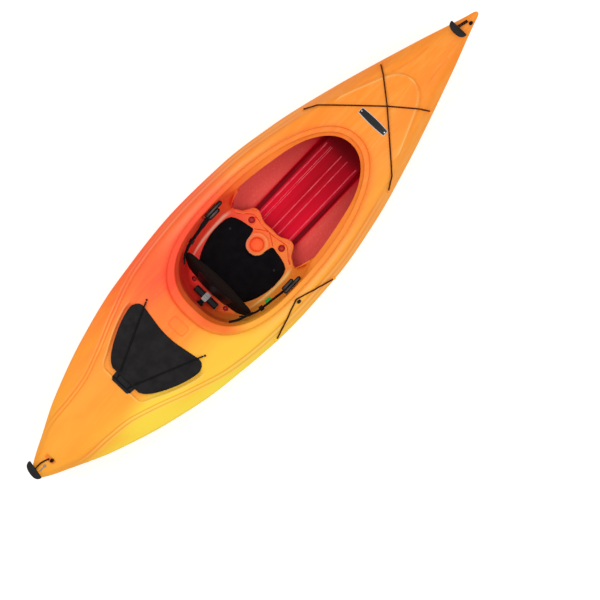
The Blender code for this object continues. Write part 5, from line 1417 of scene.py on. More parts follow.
def outer_plastic():
    """Moulded colour: yellow on the starboard quarter, through orange, to coral beside the seat; painted
    shade in the tub, the sockets, the creases, the hatch recess and partly low on the hull; painted
    highlights along the pale lines.
    """
    n = Nodes("swirled_plastic")
    axes = n.add("ShaderNodeSeparateXYZ", None, Vector=n.place).outputs
    s = n.plus(axes[0], MIDSHIP)
    zone = n.add("ShaderNodeAttribute", {"attribute_name": "zone"}).outputs["Fac"]
    crease = n.add("ShaderNodeAttribute", {"attribute_name": "crease"}).outputs["Fac"]
    pale = n.add("ShaderNodeAttribute", {"attribute_name": "pale"}).outputs["Fac"]
    cloud = n.noise(n.stretch(2.2, 9.0, 9.0), 1.0, 4.0, 0.9)
    broad = n.noise(n.stretch(1.1, 6.0, 6.0), 1.0, 3.0, 0.8)
    streak = n.noise(n.stretch(2.4, 20.0, 20.0), 1.0, 5.0, 2.2)
    fine = n.noise(n.stretch(5.0, 70.0, 70.0), 1.0, 4.0, 1.4)
    wavy = n.plus(axes[1], n.times(n.minus(broad, 0.5), 0.20))

    flank = n.step(axes[2], 0.264, 0.215)
    amber = n.times(n.hump(s, 0.15, 0.55, 1.00, 1.75), n.step(wavy, -0.02, -0.24))
    amber = n.plus(n.times(amber, 0.90), n.times(n.step(wavy, -0.06, -0.36), 0.25))
    yellow = n.times(n.hump(s, 0.26, 0.52, 0.62, 0.92), n.step(wavy, -0.07, -0.22))
    aside = n.times(n.hump(s, 0.05, 0.35, 0.90, 1.50), n.times(flank, n.step(wavy, -0.02, -0.12)))
    yellow = n.math("MAXIMUM", n.times(yellow, 0.85), n.times(aside, 0.85))
    yellow = n.times(yellow, n.plus(0.70, n.times(cloud, 0.60)))
    under = n.times(n.step(axes[2], 0.10, 0.02), n.step(streak, 0.36, 0.62))
    coral = n.times(n.hump(s, 0.58, 1.12, 1.45, 1.85), n.step(wavy, -0.20, 0.24))
    quarter = n.times(n.hump(s, 0.22, 0.60, 0.90, 1.25), n.step(wavy, 0.06, 0.22))
    quarter = n.times(quarter, n.step(streak, 0.36, 0.66))
    coral = n.plus(n.times(coral, 0.74), n.times(n.hump(zone, 0.3, 0.8, 2.5, 3.0), 0.30))
    coral = n.plus(coral, n.times(quarter, 0.24))
    coral = n.times(coral, n.plus(0.62, n.times(cloud, 0.75)))
    golden = n.times(n.step(s, 0.85, 0.30), n.plus(0.35, cloud))
    # Darker orange-red streaks low on the hull, stronger towards the keel and the bow: partly the moulding's
    # streaks, partly painted shade
    low = n.times(n.step(axes[2], 0.19, 0.03), n.step(s, 0.9, 2.6))
    low = n.times(low, n.step(streak, 0.38, 0.72))
    # Painted shade deep in the tub: darker red down the wall, more on port, doubled at the rear and mostly
    # gone forward
    deep = n.times(n.step(zone, 1.02, 1.8), n.step(wavy, -0.36, 0.06))
    deep = n.times(deep, n.plus(1.0, n.step(s, 1.36, 1.16)))
    deep = n.times(deep, n.minus(1.0, n.times(n.step(s, 1.42, 1.52), 0.75)))
    # Painted shade on the tub's rear wall: rear darkens all of it, back_wall turns its starboard part
    # orange-red
    rear = n.times(n.hump(zone, 1.05, 1.4, 1.85, 2.1), n.step(s, 1.24, 1.12))
    back_wall = n.times(n.hump(zone, 0.7, 1.1, 1.9, 2.1), n.step(s, 1.22, 1.11))
    back_wall = n.times(back_wall, n.step(wavy, 0.06, -0.10))
    warm = n.times(n.step(axes[2], 0.20, 0.06), n.step(zone, 0.6, 0.1))
    slant = n.add("ShaderNodeCombineXYZ", None, Y=n.times(s, 0.9),
                  X=n.times(n.minus(axes[2], n.times(s, 0.4)), 13.0)).outputs[0]
    swept_up = n.times(n.step(n.noise(slant, 1.0, 3.0, 0.6), 0.50, 0.66), n.hump(s, 1.85, 2.15, 2.70, 2.95))
    swept_up = n.times(swept_up, n.step(axes[2], 0.235, 0.19))

    orange = n.blend(cloud, srgb(255, 133, 28), srgb(254, 156, 50))
    orange = n.blend(n.times(n.step(streak, 0.42, 0.72), 0.30), orange, srgb(255, 176, 84))
    orange = n.blend(n.times(n.step(fine, 0.50, 0.75), 0.14), orange, srgb(255, 184, 104))
    colour = orange
    # In this list low is partly painted shade, deep, back_wall and rear are painted shade in the tub, and
    # crease is painted shade in the creases and the hatch recess
    for share, paint in ((n.times(golden, 0.72), (255, 176, 50)), (amber, (255, 198, 58)),
                         (yellow, (255, 224, 70)), (n.times(under, 0.60), (255, 150, 40)),
                         (n.times(warm, 0.66), (255, 176, 84)), (n.times(swept_up, 0.60), (255, 200, 110)),
                         (coral, (255, 78, 46)), (n.times(low, 0.55), (206, 70, 34)),
                         (n.times(deep, 0.42), (255, 44, 44)), (n.times(back_wall, 0.72), (238, 78, 26)),
                         (n.times(rear, 0.28), (150, 24, 14)), (n.times(crease, 0.50), (240, 74, 26))):
        colour = n.blend(share, colour, srgb(*paint))
    # Painted highlights on the pale lines of the deck, the rim and the pan, stronger inside the tub
    painted_highlight = n.blend(n.step(coral, 0.15, 0.60), srgb(255, 204, 126), srgb(255, 164, 124))
    inner = n.step(zone, 1.0, 1.8)
    inner_highlight = n.blend(n.step(wavy, -0.10, 0.10), srgb(255, 222, 132), srgb(255, 196, 168))
    painted_highlight = n.blend(inner, painted_highlight, inner_highlight)
    colour = n.blend(n.times(pale, n.plus(0.62, n.times(inner, 0.30))), colour, painted_highlight)
    # Dark red painted shade down in the sockets, a little lighter at their centres for a painted highlight
    colour = n.blend(n.step(zone, 2.1, 2.6), colour, srgb(168, 4, 14))

    grain = n.noise(n.place, 900.0, 2.0)
    dimple = n.noise(n.place, 60.0, 3.0)
    height = n.plus(n.times(grain, 0.00006), n.times(dimple, 0.00030))
    rough = n.plus(0.38, n.times(dimple, 0.12))
    return n.finish(colour, rough, n.bump(height), 0.22)


def inner_plastic():
    """Inside skin: crimson along the footwell, with painted shade in dark bands beside the channel and under
    the foredeck, and salmon painted light on the raised panels.
    """
    n = Nodes("inside_plastic")
    axes = n.add("ShaderNodeSeparateXYZ", None, Vector=n.place).outputs
    s = n.plus(axes[0], MIDSHIP)
    across = n.math("ABSOLUTE", axes[1])
    streak = n.noise(n.stretch(1.5, 25.0, 25.0), 1.0, 4.0, 1.0)
    speck = n.noise(n.place, 150.0, 3.0)
    # Painted light: the raised panels beside the channel are salmon, for light falling on them and shining
    # through the thin wall
    panel = n.times(n.step(across, 0.134, 0.142), n.step(axes[2], 0.14, 0.06))
    panel = n.times(panel, n.step(s, 2.16, 1.98))
    # Painted shade on the channel's side walls, in dark bands
    band = n.hump(across, 0.107, 0.112, 0.131, 0.136)
    red = n.blend(n.step(across, 0.0, 0.10), srgb(205, 2, 34), srgb(240, 8, 50))
    red = n.blend(n.times(n.step(streak, 0.35, 0.7), 0.4), red, srgb(255, 34, 60))
    salmon = n.blend(streak, srgb(255, 104, 90), srgb(255, 78, 78))
    salmon = n.blend(n.times(n.step(speck, 0.56, 0.66), 0.30), salmon, srgb(255, 150, 130))
    colour = n.blend(n.times(band, 0.92), red, srgb(104, 0, 12))
    colour = n.blend(panel, colour, salmon)
    # Painted shade under the foredeck, darkest at its front
    colour = n.blend(n.times(n.step(s, 1.72, 2.10), 0.55), colour, srgb(180, 0, 22))
    colour = n.blend(n.times(n.step(s, 2.065, 2.150), 0.72), colour, srgb(104, 0, 8))
    grain = n.noise(n.place, 120.0, 3.0)
    return n.finish(colour, 0.42, n.bump(n.times(grain, 0.0002)), 0.06)


def plain_stuff(name, dark, light, roughness, grain_scale, grain_depth, specular, metallic):
    """Moulded, rubber or metal stuff with uneven colour and grain."""
    n = Nodes(name)
    cloud = n.noise(n.place, 22.0, 4.0)
    grain = n.noise(n.place, grain_scale, 3.0)
    colour = n.blend(n.step(cloud, 0.3, 0.7), dark, light)
    rough = n.plus(roughness - 0.06, n.times(grain, 0.12))
    return n.finish(colour, rough, n.bump(n.times(grain, grain_depth)), specular, 0.0, metallic)


def woven_stuff(name, dark, light, scale, depth, roughness, sheen):
    """Woven or braided stuff with a fine diagonal weave."""
    n = Nodes(name)
    axes = n.add("ShaderNodeSeparateXYZ", None, Vector=n.place).outputs
    first = n.math("SINE", n.times(n.plus(axes[0], n.plus(axes[1], axes[2])), scale))
    second = n.math("SINE", n.times(n.minus(axes[0], n.plus(axes[1], axes[2])), scale))
    weave = n.times(first, second)
    fuzz = n.noise(n.place, 1500.0, 3.0)
    share = n.plus(n.times(weave, 0.25), fuzz)
    colour = n.blend(share, dark, light)
    height = n.plus(n.times(weave, depth), n.times(fuzz, depth))
    return n.finish(colour, roughness, n.bump(height), 0.12, sheen)


def add_object(name, bm, material, body="hull", replaces=(), angle=45.0):
    """Turn a mesh in world coordinates into a named piece that rides on a body."""
    mesh = bpy.data.meshes.new(name)
    bm.to_mesh(mesh)
    bm.free()
    mesh.shade_smooth()
    mesh.set_sharp_from_angle(angle=math.radians(angle))
    mesh.materials.append(material)
    obj = bpy.data.objects.new(name, mesh)
    bpy.context.scene.collection.objects.link(obj)
    if body:
        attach(obj, body)
    if replaces:
        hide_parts(*replaces)
    return obj


def width_at(faces, share):
    """Direction of a strap's width at a share of its length."""
    for (low, first), (high, second) in zip(faces, faces[1:]):
        if share <= high:
            return Vector(first).lerp(Vector(second), (share - low) / (high - low))
    return Vector(faces[-1][1])


def ribbed_strap(path, width, thickness, *faces):
    """Webbing with ribs across it and rounded selvedges.

    Its width points along faces, pairs of a share of its length and a direction.
    """
    points = resampled(path, RIB_STEP)
    half = width / 2
    last = len(points) - 1
    bm = bmesh.new()
    rings = []
    for i, point in enumerate(points):
        ahead = (points[min(i + 1, last)] - points[max(i - 1, 0)]).normalized()
        across = width_at(faces, i / last)
        across = (across - ahead * across.dot(ahead)).normalized()
        up = ahead.cross(across)
        low = thickness / 2 * (1.0 if i % 4 < 2 else RIB_SHARE)
        upper = [(half, 0.0), (half * 0.95, low * 0.8), (half * 0.8, low), (0.0, low), (-half * 0.8, low),
                 (-half * 0.95, low * 0.8)]
        outline = [(-a, -b) for a, b in upper] + upper
        rings.append([bm.verts.new(point + across * a + up * b) for a, b in outline])
    return close_rings(bm, rings)


def ring_plate(outer, inner, low, high, soft, matrix):
    """Flat frame between two outlines of the same number of plan points, with soft edges."""
    bm = bmesh.new()
    spans = [(0.0, low + soft), (0.12, low), (0.88, low), (1.0, low + soft),
             (1.0, high - soft), (0.88, high), (0.12, high), (0.0, high - soft)]
    rings = [[bm.verts.new((*mix(a, b, t), z)) for a, b in zip(outer, inner)] for t, z in spans]
    bridge(bm, rings + rings[:1])
    bmesh.ops.recalc_face_normals(bm, faces=bm.faces)
    bm.transform(matrix)
    return bm


def rounded_box(half_length, half_width, power=5.0, count=48, middle=(0.0, 0.0)):
    """Plan points round a rectangle with soft corners."""
    points = []
    for k in range(count):
        angle = 2 * math.pi * k / count
        c, d = math.cos(angle), math.sin(angle)
        reach = (abs(c) ** power + abs(d) ** power) ** (-1 / power)
        points.append((middle[0] + half_length * c * reach, middle[1] + half_width * d * reach))
    return points


def add_floor_ridges(materials, surface):
    """Stiffening ridges along the floor of the footwell."""
    first, last = FLOOR_RIDGE_S
    rows = 90
    columns = 10
    for number, (middle, width) in enumerate(FLOOR_RIDGES):
        grid = [[(first + (last - first) * i / rows, middle + width * (j / columns - 0.5))
                 for j in range(columns + 1)]
                for i in range(rows + 1)]

        def bottom(i, j, s, y):
            return place(s, y, surface.down(s, y, 0.055)[0].z + 0.0002)

        def top(i, j, s, y):
            arch = math.sqrt(max(0.0, 1 - (2 * j / columns - 1) ** 2))
            ends = smooth_step(min(i, rows - i) / 3)
            return bottom(i, j, s, y) + Vector((0, 0, 0.0002 + FLOOR_RIDGE_HEIGHT * arch * ends))

        # The ridges' pale pink is a painted highlight
        add_object(f"floor_ridge_{number + 1}", quilt(grid, top, bottom), materials["ridge"], "hull", (),
                   60)


def resampled(path, step):
    """Points at about an even step along a smooth curve through a path in space."""
    fine = []
    count = len(path)
    for i in range(count - 1):
        a, b = path[i], path[i + 1]
        before = path[i - 1] if i > 0 else a * 2 - b
        after = path[i + 2] if i + 2 < count else b * 2 - a
        steps = max(2, math.ceil((b - a).length / step))
        for k in range(steps):
            t = k / steps
            fine.append(0.5 * (before * (-t + 2 * t ** 2 - t ** 3) + a * (2 - 5 * t ** 2 + 3 * t ** 3)
                               + b * (t + 4 * t ** 2 - 3 * t ** 3) + after * (t ** 3 - t ** 2)))
    return fine + [path[-1]]


def round_cord(path, radius):
    """A cord along a smooth curve through a path."""
    return cord_solid(resampled(path, 0.005), radius, 16)


def add_pan_edge(materials, surface):
    """Rounded bead along the wavy front edge of the seat pan, and the low steps round its sockets and cup."""
    edge = whole_row(smooth_line(PAN_FRONT_EDGE, 60))
    plan = []
    for k, (s, y) in enumerate(edge[4:-4], 4):
        (s0, y0), (s1, y1) = edge[k - 2], edge[k + 2]
        size = math.hypot(s1 - s0, y1 - y0)
        plan.append((s - PAN_BEAD_INSET * (y0 - y1) / size, y + PAN_BEAD_INSET * (s0 - s1) / size))
    path = [place(s, y, surface.down(s, y, 0.2)[0].z + 0.0002) for s, y in plan]
    bead = cord_solid(path, PAN_BEAD_RADIUS, 12)
    # The bead's lighter colour is a painted highlight
    add_object("pan_edge_bead", bead, materials["bead"], "hull", (), 60)
    lines = [whole_row(smooth_line(PAN_STEP, 48))]
    lines += [[(s, y * side) for s, y in smooth_line(PAN_VALLEY, 16)] for side in (1, -1)]
    steps = []
    for line in lines:
        path = [place(s, y, surface.down(s, y, 0.2)[0].z - 0.6 * PAN_STEP_RADIUS) for s, y in line]
        steps.append(cord_solid(path, PAN_STEP_RADIUS, 12))
    # The steps' dark red is painted shade
    add_object("pan_step_lines", merged(*steps), materials["groove"], "hull", (), 60)


def add_seat_pad(materials, surface):
    """Foam pad that follows the seat pan, with its notch round the cup holder."""
    rear = smooth_line(whole_row(PAD_REAR), 64)
    front = whole_row(smooth_line(PAD_FRONT, 32))
    side = smooth_line(PAD_SIDE, 56)
    grid = filled_grid(rear, front, side, mirrored(side))
    rows = len(grid) - 1
    columns = len(grid[0]) - 1

    def bottom(i, j, s, y):
        return place(s, y, surface.above(s, y, 0.004) + PAD_GAP)

    def top(i, j, s, y):
        u = abs(2 * j / columns - 1)
        v = abs(2 * i / rows - 1)
        crown = (1 - v ** 10) * (1 - u ** 10)
        return bottom(i, j, s, y) + Vector((0, 0, PAD_EDGE + (PAD_THICKNESS - PAD_EDGE) * crown ** 0.5))

    pad = add_object("seat_cushion", quilt(grid, top, bottom, PAD_BELLY), materials["pad"], "hull",
                     ["seat_pad"], 60)


def add_backrest(materials):
    """Padded panel of the backrest, with a seam inside its edge."""
    rows = 48
    columns = 72
    plan = [[(2 * j / columns - 1, i / rows) for j in range(columns + 1)] for i in range(rows + 1)]

    def outline(u, t):
        width = back_half_width(t)
        arch = BACK_ARCH * BACK_HEIGHT * t * u * u
        return u * width, BACK_FOOT + (BACK_HEIGHT - BACK_FOOT) * t - arch

    def front(i, j, u, t):
        across, up = outline(u, t)
        crown = math.sqrt((1 - abs(u) ** 6) * (1 - abs(2 * t - 1) ** 6))
        seam = bell(abs(u) - SEAM_ACROSS, SEAM_WIDTH) + bell(t - SEAM_UP, SEAM_WIDTH)
        thickness = BACK_EDGE + BACK_CROWN * crown * (1 - 0.45 * t) - SEAM_DEPTH * min(seam, 1.0) * crown
        return back_point(across, up, BACK_FRONT_GAP + thickness)

    def back(i, j, u, t):
        across, up = outline(u, t)
        return back_point(across, up, 0.0)

    pad = add_object("backrest_cushion", quilt(plan, front, back, BACK_BELLY), materials["fabric"],
                     "backrest", ["backrest_pad"], 60)


def add_straps(materials):
    """Side straps with their loops, the loose starboard tail and the ribbon."""
    for side, word in ((1, "left"), (-1, "right")):
        path = [place(s, y * side, z) for s, y, z in STRAP_WRAP + SIDE_STRAP]
        webbing = ribbed_strap(path, STRAP_WIDTH, STRAP_THICKNESS, *STRAP_FACES[side])
        strap = add_object(f"{word}_back_webbing", webbing, materials["webbing"], None,
                           [f"{word}_back_strap"])
        (s0, y0, z0), (s1, y1, z1) = SIDE_STRAP[1], STRAP_WRAP[2]
        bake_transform(strap, "hull", "backrest", place(s0, y0 * side, z0), place(s1, y1 * side, z1))
        add_strap_loops(materials, word, side)
    path = [place(*p) for p in TAIL_START + TAIL]
    tail = ribbed_strap(path, STRAP_WIDTH * 0.9, STRAP_THICKNESS, (0.0, TAIL_FACE))
    add_object("right_webbing_tail", tail, materials["webbing"], "backrest", ["right_strap_tail"])
    path = [place(*p) for p in CARE_TAG]
    ribbon = ribbed_strap(path, *CARE_TAG_SIZE, (0.0, CARE_TAG_FACE))
    add_object("care_tag", ribbon, materials["green"], "right_adjuster", ())


def add_rear_strap(materials):
    """Strap from the tub's rear wall to the cross bar, with its flat buckle."""
    low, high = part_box("rear_strap")
    bar_low, bar_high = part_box("backrest_cross_bar")
    level = bar_high.z + 0.0018
    start = Vector((low.x + 0.0006, 0.0, high.z - 0.0012))
    path = [start, start + Vector((0.006, 0, -0.010))]
    path += [Vector((start.x + 0.013, 0, level + 0.006)), Vector((start.x + 0.022, 0, level + 0.0006))]
    path += [Vector((bar_low.x + 0.002, 0, level)), Vector((bar_high.x + 0.002, 0, level))]
    add_object("rear_webbing", ribbed_strap(path, STRAP_WIDTH * 0.92, STRAP_THICKNESS, (0.0, (0, 1, 0))),
               materials["webbing"], "hull", ["rear_strap"])
    middle = Vector(((bar_low.x + bar_high.x) / 2 + 0.0005, 0, level + 0.0018))
    outer = rounded_box(*BUCKLE_OUTER, 6.0)
    inner = rounded_box(*BUCKLE_INNER, 6.0)
    frame_part = ring_plate(outer, inner, 0.0, BUCKLE_HEIGHT, 0.0007, Matrix.Translation(middle))
    bars = [block(BUCKLE_BAR, Matrix.Translation(middle + Vector((x, 0, 0.0015))), 0.0008, 3)
            for x in BUCKLE_BARS]
    add_object("rear_buckle", merged(frame_part, *bars), materials["grey"], "hull", ["rear_strap_buckle"],
               50)


def merged(first, *others):
    """One mesh of several closed bodies."""
    for other in others:
        mesh = bpy.data.meshes.new("part")
        other.to_mesh(mesh)
        other.free()
        first.from_mesh(mesh)
        bpy.data.meshes.remove(mesh)
    return first


def add_cross_bar(materials):
    """Bar behind the backrest's foot, with rounded edges and shallow grooves round it."""
    low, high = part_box("backrest_cross_bar")
    middle = (low + high) / 2
    length, width, height = high - low
    outline = rounded_box(length / 2, height / 2, 4.0, 40)
    stations = [-width / 2 + width * k / BAR_STATIONS for k in range(BAR_STATIONS + 1)]
    bm = bmesh.new()
    rings = []
    for y in stations:
        end = min(y + width / 2, width / 2 - y)
        size = 1 - 0.16 * (1 - smooth_step(end / 0.006)) ** 2
        grooved = smooth_step((BAR_GROOVED_HALF - abs(y)) / 0.006)
        size -= 0.05 * max(0.0, math.cos(y * 2 * math.pi / BAR_GROOVE_PITCH)) * grooved
        rings.append([bm.verts.new((x * size, y, z * size)) for x, z in outline])
    close_rings(bm, rings).transform(Matrix.Translation(middle))
    add_object("back_bar", bm, materials["plastic"], "hull", ["backrest_cross_bar"], 50)


def oval_loop(near, far, half, side_y):
    """Flattened ring of webbing that lies on its side, and the folded inner turns that fill it."""
    height, z, ridges = STRAP_LOOP_HEIGHT, STRAP_LOOP_Z, STRAP_LOOP_FOLDS
    walk = [(far - half, -90 + 180 * k / 24) for k in range(25)]
    walk += [(near + half, 90 + 180 * k / 24) for k in range(25)]
    spans = [(1.0, -0.5), (1.0, 0.35), (0.94, 0.5), (0.66, 0.5), (0.60, 0.35), (0.60, 0.1)]
    bm = bmesh.new()
    rings = []
    for share, level in spans:
        ring = []
        for centre, angle in walk:
            turn = math.radians(angle)
            ring.append(bm.verts.new(place(centre + half * share * math.cos(turn),
                                           side_y + half * share * math.sin(turn), z + height * level)))
        rings.append(ring)
    close_rings(bm, rings)
    folds = []
    for k in range(ridges):
        y = side_y + half * 0.50 * ((k + 0.5) / ridges * 2 - 1)
        run = [place(near + half * 0.7, y, z + height * 0.22), place(far - half * 0.7, y, z + height * 0.22)]
        folds.append(cord_solid(resampled(run, 0.01), half * 0.34 / ridges * 1.5, 8))
    return bm, folds


def add_strap_loops(materials, word, side):
    """The strap's end round the bar of the slot: an outer turn and a shorter inner one beside it."""
    turns = []
    folds = []
    for loop in (OUTER_LOOP, INNER_LOOP):
        turn, inner = oval_loop(*loop["s"], loop["half"], loop["y"] * side)
        turns.append(turn)
        folds += inner
    add_object(f"{word}_webbing_loop", merged(*turns), materials["webbing"], "hull", [f"{word}_strap_loop"])
    # The folds' paler colour is a painted highlight
    add_object(f"{word}_loop_folds", merged(*folds), materials["thread"], "hull", ())


def cover_mesh(surface):
    """Hatch cover with a raised border, a rounded edge and its skirt."""
    side = smooth_line(COVER_SIDE, 60)
    rear = whole_row(even_points(COVER_REAR, 30))
    front = whole_row(smooth_line(COVER_FRONT, 30))
    grid = filled_grid(rear, front, side, mirrored(side))
    bm = bmesh.new()
    rows = len(grid) - 1
    columns = len(grid[0]) - 1
    border_start, border_slope, border_drop = COVER_BORDER
    verts = []
    for i, line in enumerate(grid):
        row = []
        for j, (s, y) in enumerate(line):
            along = math.dist(grid[0][j], grid[rows][j]) / rows
            across = math.dist(line[0], line[-1]) / columns
            edge = min(i * along, (rows - i) * along, j * across, (columns - j) * across)
            rounded = COVER_EDGE_DROP * (1 - smooth_step(edge / COVER_EDGE_WIDTH) ** 0.5)
            border = border_drop * smooth_step((edge - border_start) / border_slope)
            row.append(bm.verts.new(place(s, y, cover_top(s, y) - rounded - border + COVER_RAISE)))
        verts.append(row)
    for i in range(rows):
        for j in range(columns):
            bm.faces.new([verts[i][j], verts[i][j + 1], verts[i + 1][j + 1], verts[i + 1][j]])
    edge = [verts[i][j] for i, j in border_walk(rows, columns)]
    centre = place(COVER_MIDDLE, 0, 0)
    skirts = [edge]
    for share in (0.15, 0.5, 1.0):
        skirt = []
        for v in edge:
            outward = Vector((v.co.x - centre.x, v.co.y, 0)).normalized() * 0.002
            low = surface.above(v.co.x + outward.x + MIDSHIP, v.co.y + outward.y, 0.006) + 0.0010
            spot = v.co + outward * min(1.0, share * 2)
            skirt.append(bm.verts.new(Vector((spot.x, spot.y, v.co.z + (low - v.co.z) * share))))
        skirts.append(skirt)
    for high, low in zip(skirts, skirts[1:]):
        for k in range(len(edge)):
            n = (k + 1) % len(edge)
            bm.faces.new([high[n], high[k], low[k], low[n]])
    thicken(bm, COVER_WALL, lambda v: True)
    bmesh.ops.recalc_face_normals(bm, faces=bm.faces)
    return bm


def add_hatch(materials, shell_surface):
    """Hatch cover with its hinge strap, its two cords with their ends, and the hooks in front of it."""
    cover = cover_mesh(shell_surface)
    both = shell_surface.joined(cover)
    strap = HINGE_STRAP
    rows = 16
    columns = 40
    rear = [(strap["rear"], strap["half"] * (1 - 2 * k / columns) * 0.80) for k in range(columns + 1)]
    front = [(strap["front"], strap["half"] * (1 - 2 * k / columns)) for k in range(columns + 1)]
    port = [(strap["rear"] + (strap["front"] - strap["rear"]) * k / rows,
             strap["half"] * (0.80 + 0.15 * smooth_step(k / rows * 3) + 0.05 * k / rows))
            for k in range(rows + 1)]
    grid = filled_grid(rear, front, port, mirrored(port))

    def bottom(i, j, s, y):
        return place(s, y, shell_surface.down(s, y)[0].z + SEAT_GAP)

    def top(i, j, s, y):
        edge = min(j, columns - j) / columns * 2 * strap["half"]
        rounded = 0.0015 * (1 - smooth_step(edge / 0.004)) + 0.0015 * (1 - smooth_step(i * 0.0027 / 0.004))
        return place(s, y, shell_surface.down(s, y)[0].z + SEAT_GAP + strap["thickness"] - rounded)

    add_object("hinge_strap", quilt(grid, top, bottom), materials["rubber"], "hull", ["hatch_hinge_strap"])
    for side, word in ((1, "left"), (-1, "right")):
        plan = [(s, y * side) for s, y in HATCH_CORD]
        path = taut_path(both, plan, HATCH_CORD_RADIUS)
        add_object(f"hatch_bungee_{word}", round_cord(path, HATCH_CORD_RADIUS), materials["cord"], "hatch",
                   [f"hatch_cord_{word}"])
        level = strap["thickness"] + 0.0022
        stub = [place(s, y * side, shell_surface.down(s, y * side)[0].z + level) for s, y in CORD_STUB]
        add_object(f"hatch_cord_stub_{word}", round_cord(stub, HATCH_CORD_RADIUS), materials["cord"], "hull",
                   ())
        s, y = HATCH_HOOK
        spot, normal = shell_surface.down(s, y * side)
        add_object(f"cord_hook_{word}", turned(HOOK_PROFILE, 32, frame_at(spot + normal * SEAT_GAP, normal)),
                   materials["plastic"], "hull", [f"hatch_hook_{word}"])
    add_object("hatch_lid", cover, materials["lid"], "hatch", ["hatch_cover"], 60)


def add_eyelet(name, surface, s, y, material, node):
    """Low moulded dome that a deck cord ends in."""
    spot, normal = surface.down(s, y)
    shape = [(EYELET_RADIUS * r, EYELET_HEIGHT * z) for r, z in EYELET_PROFILE]
    add_object(name, turned(shape, 32, frame_at(spot + normal * 0.0008, normal)), material, "hull", [node],
               60)


def add_deck_cords(materials, surface):
    """Crossing bow cords and the keeper cord, with their eyelets, and the keeper's ball."""
    reach = EYELET_RADIUS + GAP
    crossing = None
    for side, word, number in ((1, "port", 0), (-1, "starboard", 2)):
        plan = [(s, y * side) for s, y in BOW_CORD]
        for count, end in ((number + 1, plan[0]), (number + 2, plan[-1])):
            add_eyelet(f"bow_eye_{count}", surface, *end, materials["outer"], f"bow_eyelet_{count}")
        plan[0] = towards(plan[0], plan[1], 0.002)
        plan[-1] = towards(plan[-1], plan[-2], 0.002)
        if crossing is None:
            crossing = plan[2][0]
            path = taut_path(surface, plan, BOW_CORD_RADIUS + GAP)
        else:
            step = 2 * BOW_CORD_RADIUS + GAP

            def over(s, y):
                return step * smooth_step(2.2 - math.dist((s, y), (crossing, 0)) / 0.03)

            path = taut_path(surface, plan, BOW_CORD_RADIUS + GAP, over)
        add_object(f"bow_bungee_{word}", round_cord(path, BOW_CORD_RADIUS), materials["deck_cord"], "hull",
                   [f"bow_cord_from_{word}"])
    add_eyelet("keeper_eye_rear", surface, *KEEPER_CORD[0], materials["outer"], "keeper_eyelet_rear")
    add_eyelet("keeper_eye_front", surface, *KEEPER_CORD[-1], materials["outer"], "keeper_eyelet_front")
    plan = [towards(KEEPER_CORD[0], KEEPER_CORD[1], reach), KEEPER_CORD[1],
            towards(KEEPER_CORD[2], KEEPER_CORD[1], reach)]
    path = []
    for s, y in rounded_plan(plan, CORD_STEP):
        spot, normal = surface.down(s, y)
        path.append(spot + normal * (CORD_RADIUS + 0.0022))
    add_object("keeper_bungee", round_cord(path, BOW_CORD_RADIUS), materials["deck_cord"], "hull",
               ["keeper_cord"])
    spot, normal = surface.down(*KEEPER_BALL_PLACE)
    long, wide, high = KEEPER_BALL_SIZE
    ball = turned(BALL_PROFILE, 32, Matrix.Diagonal((long, wide, high, 1.0)))
    ball.transform(Matrix.Translation(spot + normal * (high + SEAT_GAP)))
    add_object("keeper_toggle", ball, materials["plastic"], "hull", ["keeper_ball"], 60)


def grip_solid(matrix):
    """T-grip with a straight front, a rounded back, soft edges and finger ribs."""
    depth, width, height = GRIP
    outline = []
    for k in range(57):
        angle = math.pi * (0.5 + k / 56)
        across = math.copysign(abs(math.sin(angle)) ** 0.8, math.sin(angle))
        outline.append((depth * (0.42 - 0.92 * abs(math.cos(angle)) ** 0.9), width / 2 * across))
    outline += [(depth * 0.5, -width * 0.46 + width * 0.92 * k / 24) for k in range(25)]
    bm = bmesh.new()
    rings = []
    for scale, z in ((0.80, 0.0), (0.90, 0.0006), (0.96, height * 0.12), (1.0, height * 0.3),
                     (1.0, height * 0.7), (0.96, height * 0.88), (0.90, height * 0.97), (0.80, height)):
        ring = []
        for x, y in outline:
            ribbed = 1 - 0.02 * max(0.0, math.cos(y * 2 * math.pi / 0.009)) * (abs(y) < width * 0.36)
            ring.append(bm.verts.new((x * scale * ribbed, y * (0.5 + scale / 2), z)))
        rings.append(ring)
    close_rings(bm, rings).transform(matrix)
    return bm


